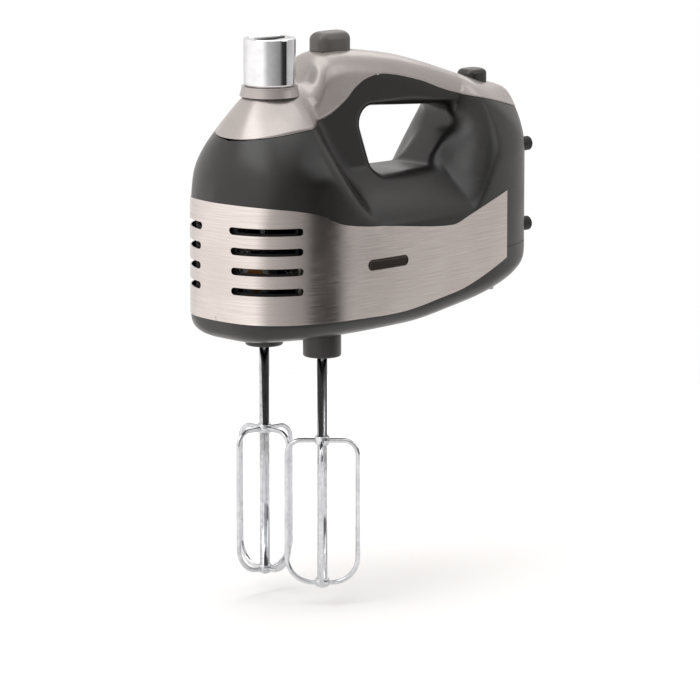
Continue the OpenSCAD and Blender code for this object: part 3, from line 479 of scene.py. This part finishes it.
# ---------------------------------------------------------------- outer shells
def outline_radius(outline, centre, angles):
    """Distance from centre to a closed side-view outline along each angle."""
    d = np.asarray(outline, float) - centre
    a = np.arctan2(d[:, 1], d[:, 0])
    r = np.hypot(d[:, 0], d[:, 1])
    order = np.argsort(a)
    return np.interp(angles, a[order], r[order], period=2 * np.pi)


def opening_outline():
    """The finger opening from the side: arcs round four circles, joined by straight runs."""
    points = []
    count = len(OPENING)
    for k in range(count):
        y, z, r = OPENING[k]
        before, after = OPENING[k - 1], OPENING[(k + 1) % count]
        turn_in = np.arctan2(z - before[1], y - before[0]) + np.pi / 2
        turn_out = np.arctan2(after[1] - z, after[0] - y) + np.pi / 2
        turn_out -= 2 * np.pi * np.round((turn_out - turn_in) / (2 * np.pi))
        a = np.linspace(turn_in, turn_out, 24)
        points.append(np.stack([y + r * np.cos(a), z + r * np.sin(a)], -1))
    ring = np.concatenate(points + [points[0][:1]])
    length = np.concatenate([[0], np.cumsum(np.hypot(*np.diff(ring, axis=0).T))])
    s = np.linspace(0, length[-1], 600, endpoint=False)
    return np.stack([np.interp(s, length, ring[:, 0]), np.interp(s, length, ring[:, 1])], -1)


def upper_shell():
    """Black housing: rays from the finger opening out to the cover line, heel, seam and nose. Each
    place on a ray stands out by the body's half width there, less a quarter circle at the rim."""
    centre = np.array(OPENING_MID)
    y = np.linspace(NOSE_Y, HEEL_Y, 1200)
    above = np.minimum(curve(COVER_LINE, y) - EDGE_GAP, curve(TOP_LINE, y))
    high = np.stack([y, above], -1)
    ends = np.linspace(0, 1, 60)[:, None]
    heel = (1 - ends) * high[-1] + ends * np.array([HEEL_Y, SEAM_Z + SEAM_GAP])
    seam = (1 - ends) * heel[-1] + ends * np.array([NOSE_Y, SEAM_Z + SEAM_GAP])
    nose = (1 - ends) * seam[-1] + ends * high[0]
    outline = np.concatenate([high[::-1], nose[::-1], seam[::-1], heel[::-1]])
    corner = [np.arctan2(*(p - centre)[::-1]) for p in (heel[-1], seam[-1], high[0], high[-1])]
    a = np.sort(np.concatenate([np.linspace(-np.pi, np.pi, 470, endpoint=False), corner]))
    inner = outline_radius(opening_outline(), centre, a)
    outer = outline_radius(outline, centre, a)
    # Rows sit close together near the rim and near the outer edge, where the surface turns fastest
    v, rim_rows, rim_share = np.linspace(0, 1, 66), 0.35, 0.147
    beyond = 1 - (1 - (v - rim_rows) / (1 - rim_rows)) ** 2.4
    share = np.where(v < rim_rows, v * rim_share / rim_rows, rim_share + (1 - rim_share) * beyond)
    share[1] = share[2] * 0.4
    r = inner[None] + (outer - inner)[None] * share[:, None]
    yy = centre[0] + r * np.cos(a)
    zz = centre[1] + r * np.sin(a)
    x = half_width(yy, zz) - RIM_R * (1 - blunt((r - inner) / RIM_R, 2.0))
    # Both sides meet along the crest, the nose and the heel
    on_crest = zz[-1] > curve(TOP_LINE, yy[-1]) - 0.3
    at_end = (yy[-1] < NOSE_Y + 0.05) | (yy[-1] > HEEL_Y - 0.05)
    x[-1, on_crest | at_end] = 0
    skin = np.stack([np.maximum(x, 0), yy, zz], -1)
    tunnel = skin[:1] * np.stack([np.linspace(0, 0.94, 9), np.ones(9), np.ones(9)], -1)[:, None]
    rows = np.concatenate([tunnel, skin])
    middle = (rows[:-1, :] + rows[1:, :]) / 2
    middle = (middle + np.roll(middle, -1, 1)) / 2
    window = ((middle[..., 0] > WINDOW_IN_X) & (middle[..., 1] < WINDOW_OUT_Y)
              & (middle[..., 2] < WINDOW_HIGH))
    faces = grid_faces(len(rows), len(a), wrap=True, keep=~window)
    return join((rows, faces), mirrored(rows, faces))


def plan_stations(turn):
    """Places from nose to heel for turns of 0 to pi: the plan's squared ellipse by its own angle."""
    reach = np.where(turn < np.pi / 2, FRONT_REACH, REAR_REACH)
    return BODY_MID - reach * np.sign(np.cos(turn)) * np.abs(np.cos(turn)) ** (2 / PLAN_POWER)


def lower_shell():
    """Black pan: stations from nose to heel, each a section from the seam round under the belly."""
    y = plan_stations(np.linspace(0, np.pi, 230))
    low = curve(BOTTOM_LINE, y)
    top = SEAM_Z - SEAM_GAP
    bend = np.linspace(0, np.pi / 2, 26)
    round_z = low[:, None] + BASE_ROUND * (1 - np.cos(bend) ** (2 / BASE_POWER))[None]
    side_h = np.maximum(top - low - BASE_ROUND, 0)
    side_z = (low + BASE_ROUND)[:, None] + side_h[:, None] * np.linspace(0, 1, 14)[None, 1:]
    z = np.minimum(np.concatenate([round_z, side_z], 1), top)
    x = half_width(y[:, None] + 0 * z, z)
    x[:, 0] = 0
    half = np.stack([x, y[:, None] + 0 * z, z], -1)
    middle = (half[:-1, :-1] + half[1:, 1:]) / 2
    window = ((middle[..., 0] > WINDOW_IN_X) & (middle[..., 1] < WINDOW_OUT_Y)
              & (middle[..., 2] > WINDOW_LOW))
    faces = grid_faces(*half.shape[:2], keep=~window)
    return join((half, faces), mirrored(half, faces))


def cover_shell():
    """Silver cover: stations from nose to heel, each a section from its edge over the crest."""
    y_all = np.linspace(NOSE_Y + 0.1, HEEL_Y - 0.1, 4000)
    lifted = curve(TOP_LINE, y_all) > curve(COVER_LINE, y_all)
    first, last = y_all[lifted][0], y_all[lifted][-1]
    t = np.linspace(0, np.pi, 300)
    y = (first + last) / 2 - (last - first) / 2 * np.cos(t)
    edge = np.minimum(curve(COVER_LINE, y) + EDGE_GAP, curve(TOP_LINE, y))
    crest = np.maximum(curve(TOP_LINE, y), edge)
    rise = 1 - (1 - np.linspace(0, 1, 34)) ** 2.2
    z = edge[:, None] + (crest - edge)[:, None] * rise
    x = half_width(y[:, None] + 0 * z, np.minimum(z, crest[:, None]))
    x[:, -1] = 0
    half = np.stack([x, y[:, None] + 0 * z, z], -1)
    # The cover stands proud of the housing and its edge turns in; both fade out towards the middle
    proud, turn_in, fade = np.array([0.25, 0, 0]), np.array([1.6, 0, 0]), 6
    turned_in = half[:, :1] - turn_in * np.minimum(half[:, :1, :1] / fade, 1)
    rolled = np.concatenate([turned_in, half + proud * np.minimum(x / fade, 1)[..., None]], 1)
    faces = grid_faces(*rolled.shape[:2])
    return join((rolled, faces), mirrored(rolled, faces))


def band_shell():
    """Steel band: stations along the plan's arc length by level rows, with the louvre slots left open.
    Stations lean in near a slot's top and bottom by r - sqrt(r^2 - height^2), so its ends are round."""
    turn = np.linspace(0, np.pi * 0.95, 6000)
    y_path = plan_stations(turn)
    x_path = BODY_HALF_W * plan(y_path)
    s_path = np.concatenate([[0], np.cumsum(np.hypot(np.diff(x_path), np.diff(y_path)))])
    front = turn < np.pi / 2
    s_in = np.interp(SLOT_IN_X, x_path[front], s_path[front])
    s_out, s_end = np.interp([SLOT_OUT_Y, BAND_END], y_path, s_path)
    settle = 24  # length over which the lean dies out past the slots
    side = np.concatenate([np.linspace(0, s_in, 14)[:-1], np.linspace(s_in, s_out, 50)[:-1],
                           np.linspace(s_out, s_out + settle, 22)[:-1],
                           np.linspace(s_out + settle, s_end, 80)])
    foot, head = BAND_LOW[0][1], BAND_TOP[0][1]
    level_from, level_to = 36, 76  # rows between these stay level, so that the slots are straight
    beside, fade = 3.6, 3.3  # rows between the slots, and how far above and below them the lean reaches
    arc = SLOT_R * np.sin(np.radians([-90, -66, -42, -20, 0, 20, 42, 66, 90]))
    rows = np.sort(np.concatenate([[foot, foot + 0.4, 25, 28, 31, 34, 80, 83, head - 0.4, head]]
                                  + [c + np.concatenate([[-beside, beside], arc]) for c in SLOT_Z]))[:, None]
    near = np.abs(rows - np.array(SLOT_Z)).min(1)
    pull = np.where(near <= SLOT_R, SLOT_R - np.sqrt(np.maximum(SLOT_R**2 - near**2, 0)),
                    SLOT_R * np.clip(1 - (near - SLOT_R) / fade, 0, 1) ** 2)[:, None]
    before, after = ease(side / s_in), ease((side - s_out) / settle) - 1
    between = 1 - 2 * (side - s_in) / (s_out - s_in)
    lean = np.where(side <= s_in, before, np.where(side >= s_out, after, between))
    s = side + pull * lean
    y = np.interp(s, s_path, y_path)
    low, high = curve(BAND_LOW, y) + EDGE_GAP, curve(BAND_TOP, y) - EDGE_GAP
    nose = (rows + (low - foot) * np.clip((level_from - rows) / (level_from - foot), 0, 1)
            + (high - head) * np.clip((rows - level_to) / (head - level_to), 0, 1))
    relax = ease((y + 27) / 26)
    z = (1 - relax) * nose + relax * (low + (high - low) * (rows - foot) / (head - foot))
    half = np.stack([half_width(y, z), y, z], -1)
    row_mid, column_mid = (rows[1:, 0] + rows[:-1, 0]) / 2, (side[1:] + side[:-1]) / 2
    in_slot = (np.abs(row_mid[:, None] - np.array(SLOT_Z)).min(1) < SLOT_R)[:, None] \
        & ((column_mid > s_in) & (column_mid < s_out))
    faces = grid_faces(*half.shape[:2], keep=~in_slot)
    return join((half, faces), mirrored(half, faces))


# ---------------------------------------------------------------- controls, plaque and beaters
def key_outline(half_w, corner, turns):
    """A rounded rectangle as unit x and y: a squared circle, squarer for a smaller corner."""
    a = np.linspace(0, 2 * np.pi, turns, endpoint=False)
    c, s = np.cos(a), np.sin(a)
    power = 2 / (2 + 3 * (1 - corner / half_w))
    return np.sign(c) * np.abs(c) ** power, np.sign(s) * np.abs(s) ** power


def key_cap(centre_y, half_l, half_w, corner, low, high, dish, crown, turns=120):
    """A moulded key: a rounded rectangle for each level, drawn in over the top edge by a quarter
    circle, with a dish on top whose depth falls off with the square of the distance from its middle."""
    unit_x, unit_y = key_outline(half_w, corner, turns)
    x, y = half_w * unit_x, half_l * unit_y
    bend = np.linspace(0, np.pi / 2, 9)
    inset = np.concatenate([[0.0, 0.0], crown * (1 - np.cos(bend))])
    height = np.concatenate([[low, high - crown], high - crown + crown * np.sin(bend)])
    share = np.linspace(1, 0, 14)[1:]
    grow_x = np.concatenate([1 - inset / half_w, (1 - crown / half_w) * share])
    grow_y = np.concatenate([1 - inset / half_l, (1 - crown / half_l) * share])
    level = np.concatenate([height, high - dish * (1 - share**2)])
    points = np.stack([grow_x[:, None] * x, centre_y + grow_y[:, None] * y, level[:, None] + 0 * x], -1)
    return points, grid_faces(len(level), turns, wrap=True)


def wing_path(angle):
    """One whisk wire: straight runs joined by quarter circles, out along the upper arm, down the
    side and back in along the lower arm, with the wider bend at the foot."""
    out, hub_r = CAGE_R, 3.2
    t = np.linspace(0, np.pi / 2, 16)
    top_arm = np.stack([np.linspace(hub_r, out - TOP_BEND, 12), np.full(12, CAGE_TOP)], -1)
    top = np.stack([out - TOP_BEND + TOP_BEND * np.sin(t), CAGE_TOP - TOP_BEND + TOP_BEND * np.cos(t)], -1)
    wall = np.stack([np.full(24, out), np.linspace(CAGE_TOP - TOP_BEND, CAGE_LOW + LOW_BEND, 24)], -1)
    low = np.stack([out - LOW_BEND + LOW_BEND * np.cos(t), CAGE_LOW + LOW_BEND - LOW_BEND * np.sin(t)], -1)
    low_arm = np.stack([np.linspace(out - LOW_BEND, hub_r, 6), np.full(6, CAGE_LOW)], -1)
    side = np.concatenate([top_arm, top[1:], wall[1:], low[1:], low_arm[1:]])
    return np.stack([side[:, 0] * np.cos(angle), side[:, 0] * np.sin(angle), side[:, 1]], -1)


def whisk(sign, first_angle):
    """Four whisk wires a quarter turn apart, each a circle carried along its path."""
    centre = np.array([sign * BEATER_X, 0, 0])
    return join(*[tube(wing_path(first_angle + k * np.pi / 2) + centre, WIRE_R) for k in range(4)])


def hub(middle, half):
    """Profile of a wire hub on a beater shaft: a short collar with its two corners cut off."""
    reach, cut = 4.0, 0.7
    return [(SHAFT_R, middle - half), (reach - cut, middle - half), (reach, middle - half + cut),
            (reach, middle + half - cut), (reach - cut, middle + half), (SHAFT_R, middle + half)]


def whisk_shaft(sign):
    """Beater shaft: a turned rod with a round nose, a snap groove and two wire hubs."""
    foot, groove, head = CAGE_LOW - 2.0, 47.0, 56.0
    profile = [(0, foot - 0.8), (1.6, foot - 0.7), *hub(CAGE_LOW + 0.3, 2.3), *hub(CAGE_TOP + 0.1, 2.7),
               (SHAFT_R, groove - 1.1), (2.2, groove - 0.8), (2.2, groove + 0.8), (SHAFT_R, groove + 1.1),
               (SHAFT_R, head - 1.0), (1.8, head), (0, head)]
    return revolve(profile, (sign * BEATER_X, 0, 0), 40)


def plaque():
    """Plaque on the side: a pill outline stepped out from the band, its edge a quarter circle."""
    a = np.linspace(0, 2 * np.pi, 96, endpoint=False)
    bend = np.linspace(0, np.pi / 2, 7)
    edge_r, sink, field = 0.5, 0.6, PLAQUE_T - 0.15
    inset = np.concatenate([[0], edge_r * (1 - np.cos(bend)), [0.9, 1.2], np.linspace(1.6, PLAQUE_HALF_H, 5)])
    rise = np.concatenate([[-sink], PLAQUE_T - edge_r + edge_r * np.sin(bend), [PLAQUE_T, field],
                           np.full(5, field)])
    r = (PLAQUE_HALF_H - inset)[:, None]
    straight = PLAQUE_HALF_L - PLAQUE_HALF_H
    y = PLAQUE_Y + r * np.cos(a) + straight * np.sign(np.round(np.cos(a), 6))
    z = PLAQUE_Z + r * np.sin(a)
    x = half_width(y, z) + rise[:, None]
    return np.stack([x, y, z], -1), grid_faces(len(inset), len(a), wrap=True)


def gap_shade_ring(centre_y, half_l, half_w, corner, gap=0.55, turns=120):
    """Painted shade of the gap round a key: a narrow dark ring laid just over the cover's crest, where no gap
    is cut.
    """
    unit_x, unit_y = key_outline(half_w, corner, turns)
    grow = np.array([-0.4, gap])[:, None]
    x = (half_w + grow) * unit_x
    y = centre_y + (half_l + grow) * unit_y
    return np.stack([x, y, crest_height(x, y) + 0.06], -1), grid_faces(2, turns, wrap=True)


def crest_height(x, y):
    """Height of the body's top at a place in plan: the level whose half width equals x, by halving."""
    low, high = curve(TOP_LINE, y) - 14, curve(TOP_LINE, y)
    for _ in range(30):
        middle = (low + high) / 2
        wide = half_width(y, middle) > np.abs(x)
        low, high = np.where(wide, middle, low), np.where(wide, high, middle)
    return (low + high) / 2


def coil_path(low, high, wire, turns):
    """A spring's centre line: a circle that climbs evenly, with 0.4 of a level turn at each end."""
    radius, level = (high[0] - low[0]) / 2 - wire, 0.4
    t = np.linspace(0, turns, turns * 32 + 1)
    climb = np.clip((t - level) / (turns - 2 * level), 0, 1)
    return np.stack([(low[0] + high[0]) / 2 + radius * np.cos(2 * np.pi * t),
                     (low[1] + high[1]) / 2 + radius * np.sin(2 * np.pi * t),
                     low[2] + wire + (high[2] - low[2] - 2 * wire) * climb], -1)


# ---------------------------------------------------------------- what a user may change
class MixerShellSettings(bpy.types.PropertyGroup):
    """Sizes of the body's shells."""
    band_thickness: bpy.props.FloatProperty(
        name="Band thickness", description="Thickness of the steel band's sheet",
        default=0.8 * MM, min=0.3 * MM, max=1.5 * MM, unit="LENGTH", subtype="DISTANCE", precision=4)
    band_edge: bpy.props.FloatProperty(
        name="Band edge", description="Radius along the edges of the band and its slots",
        default=0.15 * MM, min=0.0, max=0.3 * MM, unit="LENGTH", subtype="DISTANCE", precision=5)


class MixerControlSettings(bpy.types.PropertyGroup):
    """Sizes of the dial and the keys."""
    dial_radius: bpy.props.FloatProperty(
        name="Dial radius", description="Radius of the speed dial",
        default=(dial_high[0] - dial_low[0]) / 2, min=10 * MM, max=16 * MM, unit="LENGTH",
        subtype="DISTANCE", precision=4)
    key_dish: bpy.props.FloatProperty(
        name="Key dish", description="Depth of the shallow dish in each key",
        default=0.5 * MM, min=0.0, max=1.0 * MM, unit="LENGTH", subtype="DISTANCE", precision=5)


class MixerStageSettings(bpy.types.PropertyGroup):
    """Camera, floor and light."""
    azimuth: bpy.props.FloatProperty(
        name="Azimuth", description="Camera's turn round the mixer from straight in front of its nose",
        default=np.radians(46.5), unit="ROTATION", subtype="ANGLE")
    elevation: bpy.props.FloatProperty(
        name="Elevation", description="Camera's rise above level", default=np.radians(10.5),
        unit="ROTATION", subtype="ANGLE")
    distance: bpy.props.FloatProperty(
        name="Distance", description="Camera's distance from the mixer", default=2.6, min=0.5, max=5.0,
        unit="LENGTH", subtype="DISTANCE")
    frame_width: bpy.props.FloatProperty(
        name="Frame width", description="Width of the view at the beaters", default=0.378, min=0.2,
        max=1.0, unit="LENGTH", subtype="DISTANCE")
    floor_colour: bpy.props.FloatVectorProperty(
        name="Floor colour", description="Colour of the plain floor", subtype="COLOR",
        default=linear("#F4F3F2")[:3], min=0.0, max=1.0)
    floor_gap: bpy.props.FloatProperty(
        name="Floor gap", description="Room under the beaters, enough for them to drop as they eject",
        default=(TRAVEL["left_beater_release"] + 1) * MM, min=0.0, max=50 * MM, unit="LENGTH",
        subtype="DISTANCE", precision=4)
    light_power: bpy.props.FloatProperty(
        name="Light power", description="Power of the main soft light", default=10.0, min=0.0, max=200.0,
        unit="POWER")


# ---------------------------------------------------------------- operators
class MIXER_OT_finishes(bpy.types.Operator):
    """Give every carried-over part of the mixer the finish of what it is made of"""
    bl_idname = "mixer.finishes"
    bl_label = "Finishes"

    def execute(self, context):
        for key, names in FINISH_NODES.items():
            for name in names.split():
                for holder in frame["nodes"][name].material_slots:
                    holder.material = FINISH[key]
        return {"FINISHED"}


class MIXER_OT_shells(bpy.types.Operator):
    """Build the black upper and lower housings and the silver cover"""
    bl_idname = "mixer.shells"
    bl_label = "Shells"

    def execute(self, context):
        build("upper_shell", *upper_shell(), FINISH["shell"], "housing", ["upper_housing"])
        build("lower_shell", *lower_shell(), FINISH["shell"], "housing", ["lower_housing"])
        build("cover_shell", *cover_shell(), FINISH["cover"], "housing", ["top_cover"])
        # Painted shade: dark rings laid over the uncut cover stand in for the shaded gaps round the keys
        build("key_gap_shade", *join(gap_shade_ring(EJECT_Y, EJECT_HALF_L, EJECT_HALF_W, KEY_CORNER),
                                         gap_shade_ring(REWIND_Y, REWIND_HALF_L, REWIND_HALF_W, KEY_CORNER)),
                      FINISH["vent"], "housing", recalc=False)
        ring = rounded_profile([(16.2, 140), (15, 144.5), (15, 145.3), (12.5, 145.3), (12.5, 142)],
                               [0, 0.8, 0.5, 0.4, 0])
        build("dial_seat", *revolve(ring, (0, DIAL_Y, 0)), FINISH["cover"], "housing")
        rim = rounded_profile([(6.3, 13), (6.3, 0.1), (10.3, 0.1), (10.3, 13)], [0, 0.9, 1.1, 0])
        both = join(*[revolve(rim, (s * BEATER_X, 0, 0)) for s in (-1, 1)])
        build("collars", *both, FINISH["shell"], "housing", ["socket_collars"])
        return {"FINISHED"}


class MIXER_OT_band(bpy.types.Operator):
    """Build the brushed steel band with its louvre slots, and the plaque on it"""
    bl_idname = "mixer.band"
    bl_label = "Steel band"

    def execute(self, context):
        sizes = context.scene.mixer_shell
        band = build("steel_strip", *band_shell(), FINISH["band"], "housing", ["steel_band"])
        sheet = band.modifiers.new("sheet", "SOLIDIFY")
        sheet.thickness, sheet.offset = sizes.band_thickness, 0.0
        edge = band.modifiers.new("edge", "BEVEL")
        edge.width, edge.segments, edge.limit_method = sizes.band_edge, 1, "ANGLE"
        edge.angle_limit, edge.harden_normals = np.radians(50), True
        build("side_plaque", *plaque(), FINISH["plaque"], "housing", ["badge_plate"])
        return {"FINISHED"}


class MIXER_OT_controls(bpy.types.Operator):
    """Build the speed dial, its stripe, the eject key and the rewind key"""
    bl_idname = "mixer.controls"
    bl_label = "Controls"

    def execute(self, context):
        sizes = context.scene.mixer_control
        r, top, foot = sizes.dial_radius / MM, DIAL_TOP, DIAL_FOOT
        skirt = rounded_profile([(0, foot), (r - 0.4, foot), (r, foot + 1.2), (r, top), (r - 2.2, top),
                                 (r - 2.6, top - 0.5), (0, top - 0.4)], [0, 0.3, 0.5, 1.1, 0.3, 0.3, 0])
        build("dial_knob", *revolve(skirt, (0, DIAL_Y, 0), 128), FINISH["chrome"], "dial",
                      ["speed_dial"])
        mark, faces = key_cap(DIAL_Y, 10.6, 2.1, 1.2, top - 1.0, top + 0.1, 0.0, crown=0.35)
        build("dial_mark", mark, faces, FINISH["stripe"], "dial", ["dial_stripe"])
        dish = sizes.key_dish / MM
        eject = key_cap(EJECT_Y, EJECT_HALF_L, EJECT_HALF_W, KEY_CORNER, EJECT_LOW, EJECT_TOP, dish,
                        crown=4.6)
        build("eject_key", *eject, FINISH["eject"], "ejector", ["eject_button"])
        rewind = key_cap(REWIND_Y, REWIND_HALF_L, REWIND_HALF_W, KEY_CORNER, REWIND_LOW, REWIND_TOP, dish,
                         crown=3.0)
        build("rewind_key", *rewind, FINISH["rewind"], "rewind", ["rewind_button"])
        return {"FINISHED"}


class MIXER_OT_beaters(bpy.types.Operator):
    """Build the two chromed beaters, their wires and their shafts"""
    bl_idname = "mixer.beaters"
    bl_label = "Beaters"

    def execute(self, context):
        for side, sign, first in (("left", 1, np.pi / 4), ("right", -1, 0.0)):
            for part, shape in (("wires", whisk(sign, first)), ("shaft", whisk_shaft(sign))):
                build(f"{side}_whisk_{part}", *shape, FINISH["beater"], f"{side}_beater",
                              [f"{side}_beater_{part}"])
        return {"FINISHED"}


class MIXER_OT_springs(bpy.types.Operator):
    """Build the return springs of the two keys, each with a mesh of its own"""
    bl_idname = "mixer.springs"
    bl_label = "Key springs"

    def execute(self, context):
        for node, joint, wire, turns in (("eject_spring", "eject_button_press", 0.45, 5),
                                         ("rewind_spring", "rewind_button_press", 0.35, 4)):
            low, high = (drawn(corner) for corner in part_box(node))
            coil = build(f"{node}_coil", *tube(coil_path(low, high, wire, turns), wire, 10),
                         FINISH["spring"], "housing", [node])
            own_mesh(coil)
        return {"FINISHED"}


class MIXER_OT_stage(bpy.types.Operator):
    """Set a pale floor, soft studio light and the camera"""
    bl_idname = "mixer.stage"
    bl_label = "Stage"

    def execute(self, context):
        scene, look = context.scene, context.scene.mixer_stage
        scene.view_settings.view_transform = "Standard"
        floor_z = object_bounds()[0][2] - look.floor_gap
        rings, turns = np.linspace(0, FLOOR_R, 12), np.linspace(0, 2 * np.pi, 96, endpoint=False)
        disc = np.stack([rings[:, None] * np.cos(turns), rings[:, None] * np.sin(turns),
                         floor_z + 0 * rings[:, None] * turns], -1)
        mesh = bpy.data.meshes.new("floor")
        faces = grid_faces(len(rings), len(turns), wrap=True)
        mesh.from_pydata(disc.reshape(-1, 3).tolist(), [], faces.tolist())
        floor = bpy.data.objects.new("floor", mesh)
        scene.collection.objects.link(floor)
        mesh.materials.append(floor_finish(look.floor_colour))
        floor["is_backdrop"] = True
        turn, rise = look.azimuth, look.elevation
        right = Vector((np.cos(turn), np.sin(turn), 0))
        back = Vector((np.sin(turn) * np.cos(rise), -np.cos(turn) * np.cos(rise), np.sin(rise)))
        target = Vector(DRAWING_POINT) + right * VIEW_RIGHT * MM
        lens = bpy.data.cameras.new("camera")
        camera = bpy.data.objects.new("camera", lens)
        scene.collection.objects.link(camera)
        camera.location = target + back * look.distance
        camera.rotation_euler = back.to_track_quat("Z", "Y").to_euler()
        lens.sensor_width = 36.0
        lens.lens = lens.sensor_width * look.distance / look.frame_width
        lens.clip_end = 50.0
        scene.camera = camera
        # Soft square lights, each with its place from the target, its width in metres and its power
        for name, place, size, power in (
                ("main_light", right * -1.1 + back * 0.9 + Vector((0, 0, 1.5)), 1.2, look.light_power),
                ("side_light", right * 1.6 + back * 0.4 + Vector((0, 0, 0.9)), 1.0, look.light_power * 0.4),
                ("rear_light", right * 0.3 - back * 1.4 + Vector((0, 0, 1.6)), 1.2, look.light_power * 0.5),
                ("top_light", Vector((0, 0, 1.7)), 1.6, look.light_power)):
            lamp = bpy.data.lights.new(name, "AREA")
            lamp.size, lamp.energy = size, power
            light = bpy.data.objects.new(name, lamp)
            light.location = target + place
            light.rotation_euler = place.to_track_quat("Z", "Y").to_euler()
            scene.collection.objects.link(light)
        scene.world = studio_air()
        return {"FINISHED"}


class VIEW3D_PT_mixer(bpy.types.Panel):
    """Sidebar panel that lists the mixer's pieces and their sizes"""
    bl_idname = "VIEW3D_PT_mixer"
    bl_label = "Hand mixer"
    bl_space_type = "VIEW_3D"
    bl_region_type = "UI"
    bl_category = "Hand mixer"

    def draw(self, context):
        for kind in OPERATORS:
            self.layout.operator(kind.bl_idname)
        for sizes in (context.scene.mixer_shell, context.scene.mixer_control, context.scene.mixer_stage):
            for name in sizes.__annotations__:
                self.layout.prop(sizes, name)


OPERATORS = (MIXER_OT_finishes, MIXER_OT_shells, MIXER_OT_band, MIXER_OT_controls, MIXER_OT_beaters,
             MIXER_OT_springs, MIXER_OT_stage)
CLASSES = (MixerShellSettings, MixerControlSettings, MixerStageSettings, *OPERATORS, VIEW3D_PT_mixer)


def register():
    for kind in CLASSES:
        bpy.utils.register_class(kind)
    bpy.types.Scene.mixer_shell = bpy.props.PointerProperty(type=MixerShellSettings)
    bpy.types.Scene.mixer_control = bpy.props.PointerProperty(type=MixerControlSettings)
    bpy.types.Scene.mixer_stage = bpy.props.PointerProperty(type=MixerStageSettings)


def unregister():
    del bpy.types.Scene.mixer_shell, bpy.types.Scene.mixer_control, bpy.types.Scene.mixer_stage
    for kind in reversed(CLASSES):
        bpy.utils.unregister_class(kind)


def main():
    register()
    bpy.ops.mixer.finishes()
    bpy.ops.mixer.shells()
    bpy.ops.mixer.band()
    bpy.ops.mixer.controls()
    bpy.ops.mixer.beaters()
    bpy.ops.mixer.springs()
    bpy.ops.mixer.stage()


if __name__ == "__main__":
    main()
